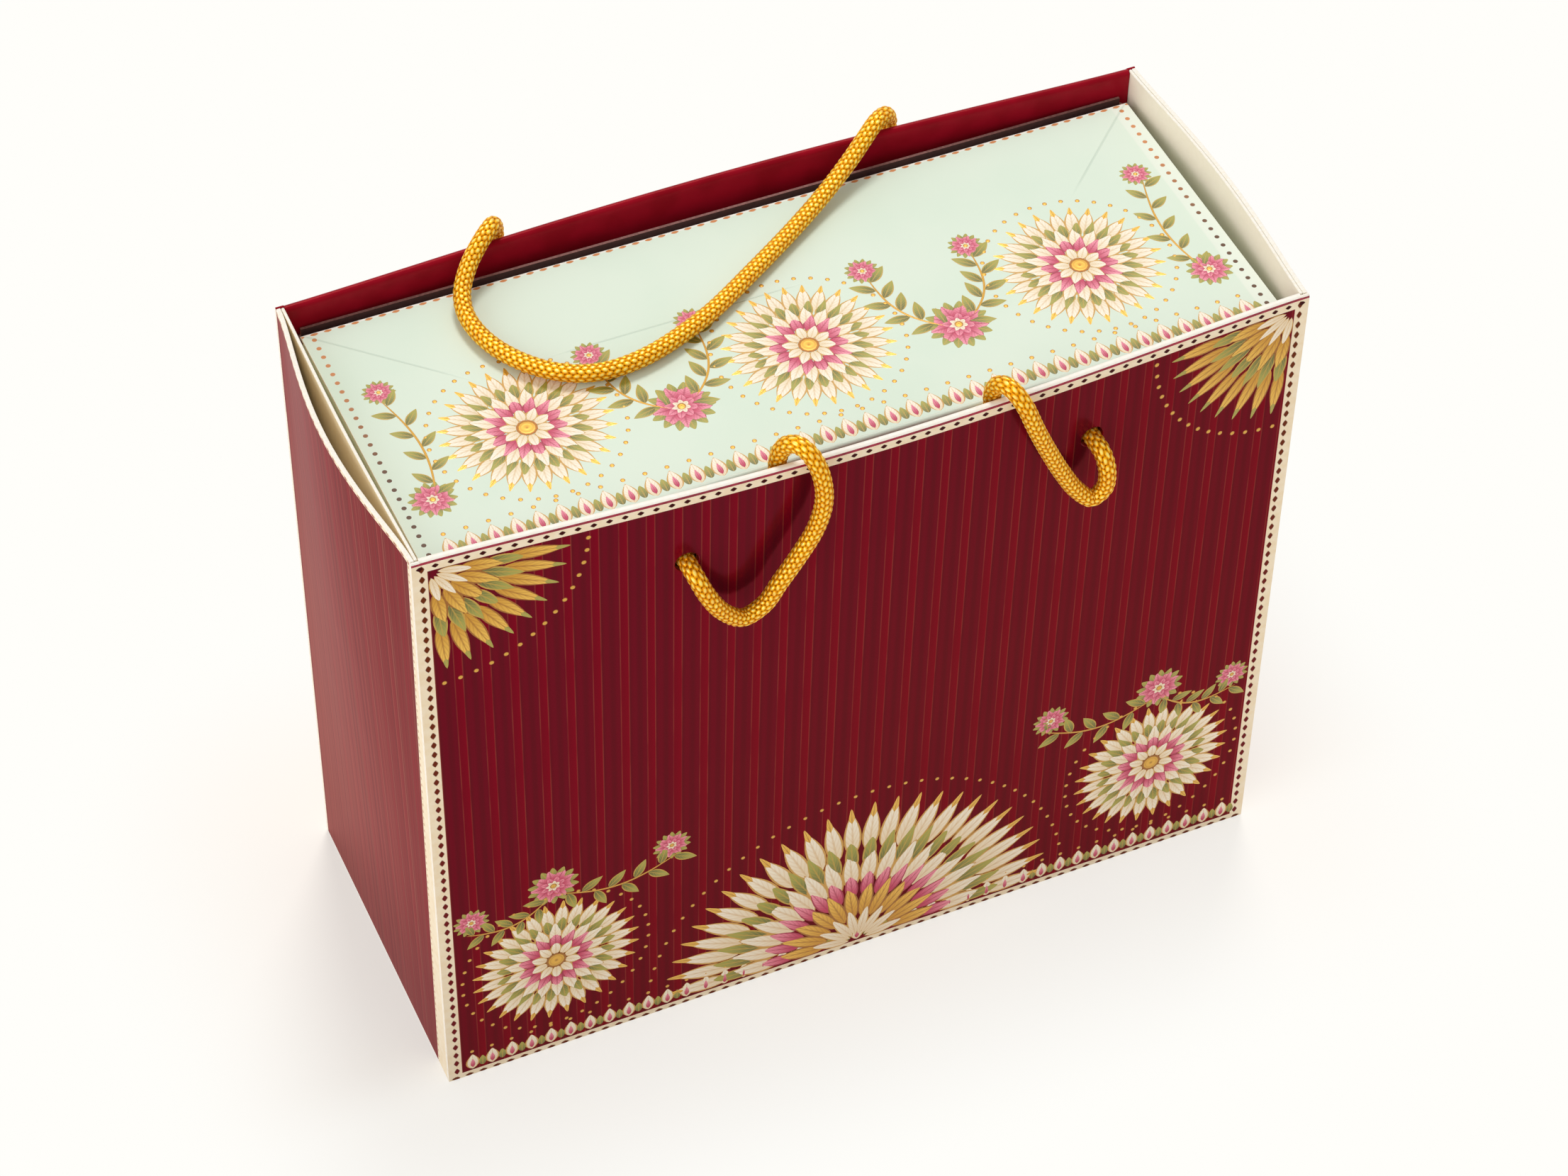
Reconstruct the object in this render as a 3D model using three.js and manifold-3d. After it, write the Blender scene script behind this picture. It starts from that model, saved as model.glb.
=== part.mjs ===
// Hamper box: a rope-handled paperboard carrier with a tuck-end carton standing in it.
// Millimetres, +Z up, +X along the long side, the front wall faces -Y.
// The origin is on the floor, midway between the outermost points of the bowed walls.

import * as THREE from 'three';
import { mergeVertices } from 'three/addons/utils/BufferGeometryUtils.js';
import Module from 'manifold-3d';

const wasm = await Module();
wasm.setup();

// Carrier, measured over its straight corners
const CARRIER_WIDTH = 305;
const CARRIER_DEPTH = 124;
const CARRIER_HEIGHT = 254;
const WALL_BOARD = 1.5;
const LINING_BOARD = 1.0;
const HEM_BOARD = 1.0;
const HEM_DEPTH = 45;
const BASE_BOARD = 1.5;
const BASE_CARD = 1.5;

// How far each wall stands out at the middle of its rim
const FRONT_BOW = 7;
const BACK_BOW = 5;
const LEFT_BOW = 6;
const RIGHT_BOW = 3;
const LEFT_LINING_BOW = 1;
const BOW_CROWN_POWER = 1.5;
const BOW_RISE_POWER = 1.2;

// Gaps between plies, at butted edges and under loose cards
const GLUE_LINE = 0.1;
const SEAM = 0.2;
const CARD_GAP = 0.4;
const SEAT = 0.2;

// Handle holes, the same on the front and back walls, and the clips that stop the cord ends
const HOLE_SPACING = 140;
const HOLE_OFFSET = 5;
const HOLE_DROP = 30;
const HOLE_DIAMETER = 8;
const CLIP_LENGTH = 22;
const CLIP_WIDTH = 10;
const CLIP_THICKNESS = 1.8;
const CLIP_CORNER = 3;
const CLIP_SEAT = 0.3;

// Braided cord of the handles
const CORD_DIAMETER = 6;
const CORD_SIDES = 10;

// Carton, sized to stand inside the carrier
const CARTON_SIDE_GAP = 2.9;
const CARTON_FRONT_GAP = 1.8;
const CARTON_BACK_GAP = 0.6;
const CARTON_BOARD = 1.0;
const LID_DROP = 9;
const CREASE = 0.3;
const TUCK_DEPTH = 20;
const TUCK_SLIT = 2.2;
const TUCK_SIDE_GAP = 3;
const TUCK_CORNER = 12;
const FLAP_LENGTH = 55;
const FLAP_FRONT_GAP = 2;
const FLAP_BACK_GAP = 1.2;
const FLAP_CORNER = 8;
const GLUE_TAB_WIDTH = 15;
const GLUE_TAB_END_GAP = 6;

// Cord centre lines, from the cord's end in one hole to its end in the other
const FRONT_CORD_ROUTE = [
  [-65.0, -64.2, 224.0],
  [-65.0, -68.0, 224.0],
  [-64.4, -72.0, 222.4],
  [-61.8, -74.6, 215.8],
  [-56.4, -74.7, 206.2],
  [-49.0, -73.8, 199.8],
  [-42.0, -73.7, 202.8],
  [-36.9, -74.2, 211.2],
  [-30.4, -74.8, 221.9],
  [-25.8, -75.2, 230.8],
  [-23.3, -75.4, 240.1],
  [-23.0, -75.0, 248.0],
  [-24.2, -73.6, 255.4],
  [-26.3, -71.0, 260.3],
  [-28.7, -67.6, 261.8],
  [-31.0, -64.3, 259.6],
  [-32.6, -62.4, 254.0],
  [-32.8, -61.9, 246.0],
  [-30.3, -61.8, 236.0],
  [-24.0, -61.7, 227.0],
  [-13.0, -61.7, 220.5],
  [3.5, -61.7, 218.2],
  [20.0, -61.7, 220.5],
  [31.2, -61.7, 227.2],
  [37.8, -61.8, 236.4],
  [40.4, -61.9, 246.0],
  [40.2, -62.3, 253.4],
  [40.8, -64.4, 258.2],
  [42.0, -67.8, 260.3],
  [43.5, -71.2, 259.6],
  [45.7, -74.0, 255.4],
  [49.2, -75.2, 246.0],
  [55.0, -74.8, 232.6],
  [61.0, -74.3, 220.2],
  [66.6, -73.9, 210.6],
  [72.0, -74.1, 205.2],
  [76.0, -74.6, 208.6],
  [76.6, -74.6, 216.4],
  [75.7, -72.2, 222.2],
  [75.0, -68.0, 224.0],
  [75.0, -63.8, 224.0],
];

const REAR_CORD_LEFT_ROUTE = [
  [-75.0, 62.6, 224.0],
  [-75.0, 66.0, 224.0],
  [-75.0, 69.0, 226.6],
  [-75.0, 69.9, 232.5],
  [-75.0, 69.6, 239.0],
  [-75.0, 69.2, 246.0],
  [-75.0, 69.2, 251.8],
];

const REAR_HANDLE_ROUTE = [
  [-75.0, 69.2, 252.2],
  [-75.0, 69.2, 253.4],
  [-75.6, 68.3, 256.4],
  [-77.4, 65.8, 258.5],
  [-82.6, 61.4, 257.7],
  [-89.4, 55.4, 254.2],
  [-94.4, 48.2, 250.8],
  [-96.2, 41.0, 249.0],
  [-95.9, 33.0, 248.5],
  [-93.6, 23.8, 248.5],
  [-89.2, 15.2, 248.5],
  [-83.6, 8.2, 248.5],
  [-77.3, 3.1, 248.5],
  [-70.3, -0.1, 248.5],
  [-62.6, -1.3, 248.5],
  [-54.0, -0.6, 248.5],
  [-45.2, 1.6, 248.5],
  [-34.8, 5.7, 248.5],
  [-23.4, 11.2, 248.5],
  [-4.8, 22.9, 248.5],
  [16.3, 36.8, 248.7],
  [32.3, 47.4, 250.3],
  [45.6, 56.0, 254.0],
  [52.2, 60.2, 257.0],
  [58.0, 64.2, 258.8],
  [62.8, 67.5, 257.6],
  [65.0, 69.5, 253.6],
  [65.0, 69.5, 252.2],
];

const REAR_CORD_RIGHT_ROUTE = [
  [65.0, 69.5, 251.8],
  [65.0, 69.5, 246.0],
  [65.0, 69.8, 239.0],
  [65.0, 70.1, 232.5],
  [65.0, 69.3, 226.6],
  [65.0, 66.4, 224.0],
  [65.0, 62.9, 224.0],
];

// Sizes that follow from the ones above
const SIDE_LENGTH = CARRIER_DEPTH - 2 * (WALL_BOARD + SEAM);
const BASE_LENGTH = CARRIER_WIDTH - 2 * (WALL_BOARD + SEAM);
const LINED_WIDTH = CARRIER_WIDTH - 2 * (WALL_BOARD + GLUE_LINE + LINING_BOARD);
const HEMMED_DEPTH = CARRIER_DEPTH - 2 * (WALL_BOARD + GLUE_LINE + HEM_BOARD);
const LINING_FLOOR = BASE_BOARD + GLUE_LINE;
const HOLE_HEIGHT = CARRIER_HEIGHT - HOLE_DROP;

const CARTON_FLOOR = BASE_BOARD + GLUE_LINE + BASE_CARD + SEAT;
const CARTON_HEIGHT = CARRIER_HEIGHT - LID_DROP - CARTON_FLOOR;
const CARTON_WIDTH = LINED_WIDTH - 2 * CARTON_SIDE_GAP;
const CARTON_DEPTH = HEMMED_DEPTH - CARTON_FRONT_GAP - CARTON_BACK_GAP;
const CARTON_CENTRE_Y = (CARTON_FRONT_GAP - CARTON_BACK_GAP) / 2;
const LID_LENGTH = CARTON_DEPTH - CARTON_BOARD - TUCK_SLIT;
const FLAP_LEVEL = CARTON_BOARD + CREASE;
const END_WALL_INSET = 2 * FLAP_LEVEL;

// Paperboard and cord finishes
const wallPaper = new THREE.MeshStandardMaterial({ color: 0x7a0f22, roughness: 0.55 });
const liningPaper = new THREE.MeshStandardMaterial({ color: 0xd8c39a, roughness: 0.7 });
const baseBoard = new THREE.MeshStandardMaterial({ color: 0xb9a88c, roughness: 0.85 });
const cartonBoard = new THREE.MeshStandardMaterial({ color: 0xd7ebdc, roughness: 0.6 });
const goldCord = new THREE.MeshStandardMaterial({ color: 0xcf9a2a, roughness: 0.5 });
const clipMetal = new THREE.MeshStandardMaterial({ color: 0xc9a545, roughness: 0.35, metalness: 1 });

function piece(name, geometry, material) {
  const mesh = new THREE.Mesh(geometry, material);
  mesh.name = name;
  return mesh;
}

// A flat board standing from low to high, centred on X and Y
function board(sizeX, sizeY, low, high) {
  return new THREE.BoxGeometry(sizeX, sizeY, high - low).translate(0, 0, (low + high) / 2);
}

// A flat shape cut from board, lying in XY with its top at z = 0
function cutBoard(shape, thickness) {
  const options = { depth: thickness, bevelEnabled: false, curveSegments: 6 };
  return new THREE.ExtrudeGeometry(shape, options).translate(0, 0, -thickness);
}

// How far a wall stands out at u, from -1 to 1 across its span, and at height z
function bowAt(bow, u, z) {
  const crown = Math.max(0, 1 - u * u) ** BOW_CROWN_POWER;
  const rise = Math.max(0, z / CARRIER_HEIGHT) ** BOW_RISE_POWER;
  return bow * crown * rise;
}

// A board in a wall's own frame: X along the wall, +Y outwards. Its outer face is at reach,
// plus the bow, and the bow's span is that of the wall it belongs to.
function bowedBoard({ length, thickness, low, high, reach, bow, span, steps, rows }) {
  const geometry = new THREE.BoxGeometry(length, thickness, high - low, steps, 1, rows);
  geometry.translate(0, reach - thickness / 2, (low + high) / 2);
  const place = geometry.attributes.position;
  for (let i = 0; i < place.count; i += 1) {
    const out = bowAt(bow, place.getX(i) / (span / 2), place.getZ(i));
    place.setY(i, place.getY(i) + out);
  }
  geometry.computeVertexNormals();
  return geometry;
}

function toSolid(geometry) {
  const bare = geometry.clone();
  bare.deleteAttribute('normal');
  bare.deleteAttribute('uv');
  const merged = mergeVertices(bare, 1e-4);
  const mesh = new wasm.Mesh({
    numProp: 3,
    vertProperties: Float32Array.from(merged.attributes.position.array),
    triVerts: Uint32Array.from(merged.index.array),
  });
  return new wasm.Manifold(mesh);
}

function toGeometry(solid) {
  const mesh = solid.getMesh();
  const geometry = new THREE.BufferGeometry();
  geometry.setAttribute('position', new THREE.BufferAttribute(mesh.vertProperties, 3));
  geometry.setIndex(new THREE.BufferAttribute(mesh.triVerts, 1));
  geometry.computeVertexNormals();
  return geometry;
}

// The two handle holes' places along a wall, seen in the wall's own frame
const holePlaces = [-HOLE_OFFSET - HOLE_SPACING / 2, -HOLE_OFFSET + HOLE_SPACING / 2];

function punchHandleHoles(geometry, reach) {
  let solid = toSolid(geometry);
  for (const x of holePlaces) {
    const drill = new THREE.CylinderGeometry(HOLE_DIAMETER / 2, HOLE_DIAMETER / 2, reach, 24);
    drill.translate(x, reach, HOLE_HEIGHT);
    solid = solid.subtract(toSolid(drill));
  }
  return toGeometry(solid);
}

// A flat clip with round corners, which the cord's end is crimped to
function clipGeometry() {
  const halfLength = CLIP_LENGTH / 2 - CLIP_CORNER;
  const halfWidth = CLIP_WIDTH / 2 - CLIP_CORNER;
  const shape = new THREE.Shape();
  shape.absarc(halfLength, halfWidth, CLIP_CORNER, 0, Math.PI / 2);
  shape.absarc(-halfLength, halfWidth, CLIP_CORNER, Math.PI / 2, Math.PI);
  shape.absarc(-halfLength, -halfWidth, CLIP_CORNER, Math.PI, 1.5 * Math.PI);
  shape.absarc(halfLength, -halfWidth, CLIP_CORNER, 1.5 * Math.PI, 2 * Math.PI);
  return cutBoard(shape, CLIP_THICKNESS).rotateX(-Math.PI / 2);
}

// A long wall: its printed board, the hem turned in at the rim, and a clip behind each hole
function handleWall(side, angle, bow, clipNames) {
  const wall = new THREE.Group();
  wall.rotation.z = angle;
  const reach = CARRIER_DEPTH / 2;
  const common = { bow, span: CARRIER_WIDTH, high: CARRIER_HEIGHT, steps: 26 };
  const panel = bowedBoard({
    ...common,
    length: CARRIER_WIDTH,
    thickness: WALL_BOARD,
    low: 0,
    reach,
    rows: 9,
  });
  const hem = bowedBoard({
    ...common,
    length: LINED_WIDTH - 2 * SEAM,
    thickness: HEM_BOARD,
    low: CARRIER_HEIGHT - HEM_DEPTH,
    reach: reach - WALL_BOARD - GLUE_LINE,
    rows: 3,
  });
  wall.add(piece(`${side}_panel`, punchHandleHoles(panel, reach), wallPaper));
  wall.add(piece(`${side}_rim_hem`, punchHandleHoles(hem, reach), wallPaper));

  const lined = HEMMED_DEPTH / 2;
  const slopeStep = 1;
  holePlaces.forEach((x, index) => {
    const out = (dx, dz) => bowAt(bow, (x + dx) / (CARRIER_WIDTH / 2), HOLE_HEIGHT + dz);
    const slopeX = (out(slopeStep, 0) - out(-slopeStep, 0)) / (2 * slopeStep);
    const slopeZ = (out(0, slopeStep) - out(0, -slopeStep)) / (2 * slopeStep);
    const clip = piece(clipNames[index], clipGeometry(), clipMetal);
    clip.position.set(x, lined + out(0, 0) - CLIP_SEAT, HOLE_HEIGHT);
    clip.rotation.set(-Math.atan(slopeZ), 0, Math.atan(slopeX), 'ZXY');
    wall.add(clip);
  });
  return wall;
}

// An end wall: its printed board, and a lining with a bow of its own
function endWall(side, angle, bow, liningBow) {
  const wall = new THREE.Group();
  wall.rotation.z = angle;
  const reach = CARRIER_WIDTH / 2;
  const common = { length: SIDE_LENGTH, span: SIDE_LENGTH, high: CARRIER_HEIGHT, steps: 14, rows: 9 };
  const panel = bowedBoard({ ...common, bow, thickness: WALL_BOARD, low: 0, reach });
  const lining = bowedBoard({
    ...common,
    bow: liningBow,
    thickness: LINING_BOARD,
    low: LINING_FLOOR,
    reach: reach - WALL_BOARD - GLUE_LINE,
  });
  wall.add(piece(`${side}_side_panel`, panel, wallPaper));
  wall.add(piece(`${side}_side_lining`, lining, liningPaper));
  return wall;
}

function carrierBase() {
  const base = new THREE.Group();
  const cardLow = BASE_BOARD + GLUE_LINE;
  const cardWidth = LINED_WIDTH - 2 * CARD_GAP;
  const cardDepth = SIDE_LENGTH - 2 * CARD_GAP;
  base.add(piece('base_panel', board(BASE_LENGTH, SIDE_LENGTH, 0, BASE_BOARD), baseBoard));
  base.add(piece('base_card', board(cardWidth, cardDepth, cardLow, cardLow + BASE_CARD), baseBoard));
  return base;
}

// A cord: a round section carried along a smooth curve through its points
function cord(name, route, steps) {
  const section = new THREE.Shape();
  for (let i = 0; i < CORD_SIDES; i += 1) {
    const turn = (2 * Math.PI * i) / CORD_SIDES;
    const x = (CORD_DIAMETER / 2) * Math.cos(turn);
    const y = (CORD_DIAMETER / 2) * Math.sin(turn);
    if (i === 0) section.moveTo(x, y);
    else section.lineTo(x, y);
  }
  const points = route.map((point) => new THREE.Vector3(...point));
  const path = new THREE.CatmullRomCurve3(points, false, 'centripetal');
  const geometry = new THREE.ExtrudeGeometry(section, { steps, bevelEnabled: false, extrudePath: path });
  return piece(name, geometry, goldCord);
}

// A tuck flap's outline: straight at the crease on top, round at its two free corners
function tuckShape() {
  const half = CARTON_WIDTH / 2 - CARTON_BOARD - TUCK_SIDE_GAP;
  const shape = new THREE.Shape();
  shape.moveTo(half, 0);
  shape.lineTo(-half, 0);
  shape.absarc(-half + TUCK_CORNER, -TUCK_DEPTH + TUCK_CORNER, TUCK_CORNER, Math.PI, 1.5 * Math.PI);
  shape.absarc(half - TUCK_CORNER, -TUCK_DEPTH + TUCK_CORNER, TUCK_CORNER, 1.5 * Math.PI, 2 * Math.PI);
  return shape;
}

// A dust flap's outline, with its crease on X = 0: its front edge is mitred at 45 degrees, so that
// it swings up freely under the lid, and its free corner at the back is round
function dustFlapShape(inward) {
  const front = -CARTON_DEPTH / 2 + FLAP_FRONT_GAP;
  const back = -CARTON_DEPTH / 2 + LID_LENGTH - CARTON_BOARD - FLAP_BACK_GAP;
  const shape = new THREE.Shape();
  const tip = inward * FLAP_LENGTH;
  shape.moveTo(0, front);
  shape.lineTo(tip, front + FLAP_LENGTH);
  shape.lineTo(tip, back - FLAP_CORNER);
  shape.quadraticCurveTo(tip, back, tip - inward * FLAP_CORNER, back);
  shape.lineTo(0, back);
  return shape;
}

function endFlap(name, inward, level) {
  const flap = piece(name, cutBoard(dustFlapShape(inward), CARTON_BOARD), cartonBoard);
  flap.position.set((-inward * CARTON_WIDTH) / 2, 0, level);
  return flap;
}

// A closing panel, creased to the front wall along Y = 0, and the tuck flap at its back edge.
// inwards is -1 for the top of the carton, whose flap points down, and 1 for the bottom.
function closure(panelName, tuckName, inwards) {
  const group = new THREE.Group();
  group.position.y = -CARTON_DEPTH / 2;
  const panel = new THREE.BoxGeometry(CARTON_WIDTH, LID_LENGTH, CARTON_BOARD);
  panel.translate(0, LID_LENGTH / 2, (inwards * CARTON_BOARD) / 2);
  const tuck = cutBoard(tuckShape(), CARTON_BOARD).translate(0, 0, CARTON_BOARD / 2);
  tuck.rotateX((-inwards * Math.PI) / 2);
  tuck.translate(0, LID_LENGTH - CARTON_BOARD / 2, inwards * FLAP_LEVEL);
  group.add(piece(panelName, panel, cartonBoard));
  group.add(piece(tuckName, tuck, cartonBoard));
  return group;
}

function carton() {
  const group = new THREE.Group();
  group.position.set(0, CARTON_CENTRE_Y, CARTON_FLOOR);
  const halfDepth = (CARTON_DEPTH - CARTON_BOARD) / 2;
  const halfWidth = (CARTON_WIDTH - CARTON_BOARD) / 2;
  const endLength = CARTON_DEPTH - 2 * (CARTON_BOARD + SEAM);
  const endTop = CARTON_HEIGHT - END_WALL_INSET;

  const front = board(CARTON_WIDTH, CARTON_BOARD, FLAP_LEVEL, CARTON_HEIGHT - FLAP_LEVEL);
  const back = board(CARTON_WIDTH, CARTON_BOARD, 0, CARTON_HEIGHT);
  group.add(piece('carton_front_wall', front.translate(0, -halfDepth, 0), cartonBoard));
  group.add(piece('carton_back_wall', back.translate(0, halfDepth, 0), cartonBoard));
  for (const [name, way] of [['left', -1], ['right', 1]]) {
    const end = board(CARTON_BOARD, endLength, END_WALL_INSET, endTop);
    group.add(piece(`carton_${name}_wall`, end.translate(way * halfWidth, 0, 0), cartonBoard));
    group.add(endFlap(`${name}_dust_flap`, -way, CARTON_HEIGHT - FLAP_LEVEL));
    group.add(endFlap(`carton_base_${name}_flap`, -way, FLAP_LEVEL + CARTON_BOARD));
  }

  const tabLow = END_WALL_INSET + GLUE_TAB_END_GAP;
  const tab = board(CARTON_BOARD, GLUE_TAB_WIDTH, tabLow, CARTON_HEIGHT - tabLow);
  tab.translate(halfWidth - CARTON_BOARD - GLUE_LINE, (endLength - GLUE_TAB_WIDTH) / 2, 0);
  group.add(piece('carton_glue_tab', tab, cartonBoard));

  const lid = closure('lid_panel', 'lid_tuck_flap', -1);
  lid.position.z = CARTON_HEIGHT;
  group.add(lid, closure('carton_base_panel', 'carton_base_tuck_flap', 1));
  return group;
}

const hamper = new THREE.Group();
hamper.name = 'hamper_box';
hamper.position.set((LEFT_BOW - RIGHT_BOW) / 2, (FRONT_BOW - BACK_BOW) / 2, 0);
hamper.add(
  handleWall('front', Math.PI, FRONT_BOW, ['front_right_cord_clip', 'front_left_cord_clip']),
  handleWall('back', 0, BACK_BOW, ['rear_left_cord_clip', 'rear_right_cord_clip']),
  endWall('left', Math.PI / 2, LEFT_BOW, LEFT_LINING_BOW),
  endWall('right', -Math.PI / 2, RIGHT_BOW, RIGHT_BOW),
  carrierBase(),
  cord('front_handle_cord', FRONT_CORD_ROUTE, 78),
  cord('rear_cord_left_end', REAR_CORD_LEFT_ROUTE, 12),
  cord('rear_cord_right_end', REAR_CORD_RIGHT_ROUTE, 12),
  cord('rear_handle_loop', REAR_HANDLE_ROUTE, 54),
  carton(),
);

export default hamper;
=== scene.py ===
"""Looks of the hamper box: a printed board carrier, a mint carton standing in it, two braided cords.

Lengths are millimetres from the middle of the carrier's floor, +X along the long side, the front
wall facing -Y. They become metres in the frame's own axes when a mesh is made.
"""

import math

import bpy
import numpy as np
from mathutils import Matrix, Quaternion, Vector


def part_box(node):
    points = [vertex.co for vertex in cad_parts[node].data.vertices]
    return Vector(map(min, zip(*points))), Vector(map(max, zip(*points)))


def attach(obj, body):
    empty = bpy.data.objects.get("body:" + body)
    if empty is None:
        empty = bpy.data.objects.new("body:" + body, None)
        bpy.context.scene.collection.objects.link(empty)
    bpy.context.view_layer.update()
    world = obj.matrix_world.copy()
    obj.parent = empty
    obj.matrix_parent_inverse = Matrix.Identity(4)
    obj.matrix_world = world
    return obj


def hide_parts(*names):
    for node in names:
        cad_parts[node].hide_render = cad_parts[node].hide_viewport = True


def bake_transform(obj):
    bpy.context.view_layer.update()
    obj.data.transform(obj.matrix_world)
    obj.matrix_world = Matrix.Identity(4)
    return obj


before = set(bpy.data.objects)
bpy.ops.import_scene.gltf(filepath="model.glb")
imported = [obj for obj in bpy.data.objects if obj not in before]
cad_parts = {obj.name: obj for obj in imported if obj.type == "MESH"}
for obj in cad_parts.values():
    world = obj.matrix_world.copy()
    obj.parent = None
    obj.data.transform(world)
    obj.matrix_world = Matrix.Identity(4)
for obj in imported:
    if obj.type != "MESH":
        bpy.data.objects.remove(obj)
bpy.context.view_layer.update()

MM = 0.001
TURN = 2 * math.pi

# Points nearer to each other than WELD become one, and a length under TOUCH counts as none
WELD = 0.002
TOUCH = 1e-6


def cad_box_of(node):
    """Lowest and highest corner of a node, in millimetres of the frame."""
    return [np.array(corner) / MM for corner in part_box(node)]


FLOOR_LOW, FLOOR_HIGH = cad_box_of("base_panel")
ORIGIN = np.array([(FLOOR_LOW[0] + FLOOR_HIGH[0]) / 2, (FLOOR_LOW[1] + FLOOR_HIGH[1]) / 2, 0.0])


def node_box(node):
    """Lowest and highest corner of a node, from the middle of the carrier's floor."""
    return [corner - ORIGIN for corner in cad_box_of(node)]


def metres(points):
    """Places in millimetres from the middle of the carrier's floor, as metres of the frame."""
    return (points + ORIGIN) * MM


# Carrier sizes, most of them read from its solids
FRONT_LOW, FRONT_HIGH = node_box("front_panel")
BACK_HIGH = node_box("back_panel")[1]
LEFT_LOW, LEFT_HIGH = node_box("left_side_panel")
RIGHT_HIGH = node_box("right_side_panel")[1]
LINING_LOW = node_box("left_side_lining")[0]
HEM_LOW, HEM_HIGH = node_box("front_rim_hem")
WALL_BOARD = FLOOR_HIGH[2] - FLOOR_LOW[2]
CARRIER_WIDTH = FRONT_HIGH[0] - FRONT_LOW[0]
CARRIER_HEIGHT = FRONT_HIGH[2]
CARRIER_REACH = WALL_BOARD - FRONT_HIGH[1]
END_SPAN = LEFT_HIGH[1] - LEFT_LOW[1]
END_REACH = CARRIER_WIDTH / 2
END_LAP = 0.18
FRONT_BOW = -FRONT_LOW[1] - CARRIER_REACH
BACK_BOW = BACK_HIGH[1] - CARRIER_REACH
LEFT_BOW = -LEFT_LOW[0] - END_REACH
RIGHT_BOW = RIGHT_HIGH[0] - END_REACH
LINING_BOARD = 1.0
GLUE_LINE = 0.1
LINING_FACE = -WALL_BOARD - GLUE_LINE
LINING_FLOOR = FLOOR_HIGH[2] + GLUE_LINE
LINING_BOW = -LINING_LOW[0] - (END_REACH + LINING_FACE)
BOW_CROWN_POWER = 1.5
BOW_RISE_POWER = 1.2
HEM_FOOT = HEM_LOW[2]
HEM_HALF = HEM_HIGH[0]
RIM_THICKNESS = 2.6
RIM_BULB = 0.2
RIM_BULB_DEPTH = 3.0
EDGE_ROUND = 0.2

# Carton sizes, most of them read from its solids
CARTON_FRONT_LOW, CARTON_FRONT_HIGH = node_box("carton_front_wall")
CARTON_BACK_LOW, CARTON_BACK_HIGH = node_box("carton_back_wall")
CARTON_END_LOW, CARTON_END_HIGH = node_box("carton_left_wall")
LID_LOW, LID_TOP = node_box("lid_panel")
TUCK_LOW, TUCK_HIGH = node_box("lid_tuck_flap")
FLAP_LOW, FLAP_HIGH = node_box("left_dust_flap")
FLOOR_FLAP_LOW, FLOOR_FLAP_HIGH = node_box("carton_base_left_flap")
LID_HALF = LID_TOP[0]
LID_REAR = LID_TOP[1]
CARTON_BOARD = LID_TOP[2] - LID_LOW[2]
CARTON_EDGE_ROUND = 0.12
CARTON_CORNER = 1.2
FOLD = 1.3
CREASE_SKIN = 0.35
TUCK_CORNER = 12.0
FLAP_CORNER = 8.0

# Grids: the widest cells of the long walls, along and up, the lines of the end walls and of the
# closing sheets, and the steps of round corners and folds
WALL_CELL_LENGTH = 5.0
WALL_CELL_HEIGHT = 6.0
END_LINES = 41
SHEET_LINES = 43
SHEET_ROWS = 30
FLAP_LINES = 12
CORNER_STEPS = 6
FOLD_STEPS = 9

# Cord clips
CLIP_LENGTH = 22.0
CLIP_WIDTH = 10.0
CLIP_CORNER = 3.0
CLIP_OUTER = -2.9
CLIP_INNER = -4.7

# Handle holes, seen from outside each long wall
HOLE_PLACES = (-65.0, 75.0)
HOLE_HEIGHT = 224.0
HOLE_RADIUS = 4.0
HOLE_WINDOW = 6.0
HOLE_CELLS = 8

# Cords
CORD_DIAMETER = 6.0
STITCH_COLUMNS = 12
STITCH_LENGTH = 2.4
STITCH_LEAN = 0.2
SCATTER, SCATTER_COLUMN, SCATTER_ROW = 43758.5, 12.99, 78.23
FRONT_CORD_ROUTE = [
    (-65.0, -64.2, 224.0), (-65.0, -68.0, 224.0), (-64.4, -72.0, 222.4), (-61.8, -74.6, 215.8),
    (-56.4, -74.7, 206.2), (-49.0, -73.8, 199.8), (-42.0, -73.7, 202.8), (-36.9, -74.2, 211.2),
    (-30.4, -74.8, 221.9), (-25.8, -75.2, 230.8), (-23.3, -75.4, 240.1), (-23.0, -75.0, 248.0),
    (-24.2, -73.6, 255.4), (-26.3, -71.0, 260.3), (-28.7, -67.6, 261.8), (-31.0, -64.3, 259.6),
    (-32.6, -62.4, 254.0), (-32.8, -61.9, 246.0), (-30.3, -61.8, 236.0), (-24.0, -61.7, 227.0),
    (-13.0, -61.7, 220.5), (3.5, -61.7, 218.2), (20.0, -61.7, 220.5), (31.2, -61.7, 227.2),
    (37.8, -61.8, 236.4), (40.4, -61.9, 246.0), (40.2, -62.3, 253.4), (40.8, -64.4, 258.2),
    (42.0, -67.8, 260.3), (43.5, -71.2, 259.6), (45.7, -74.0, 255.4), (49.2, -75.2, 246.0),
    (55.0, -74.8, 232.6), (61.0, -74.3, 220.2), (66.6, -73.9, 210.6), (72.0, -74.1, 205.2),
    (76.0, -74.6, 208.6), (76.6, -74.6, 216.4), (75.7, -72.2, 222.2), (75.0, -68.0, 224.0),
    (75.0, -63.8, 224.0),
]
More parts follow.
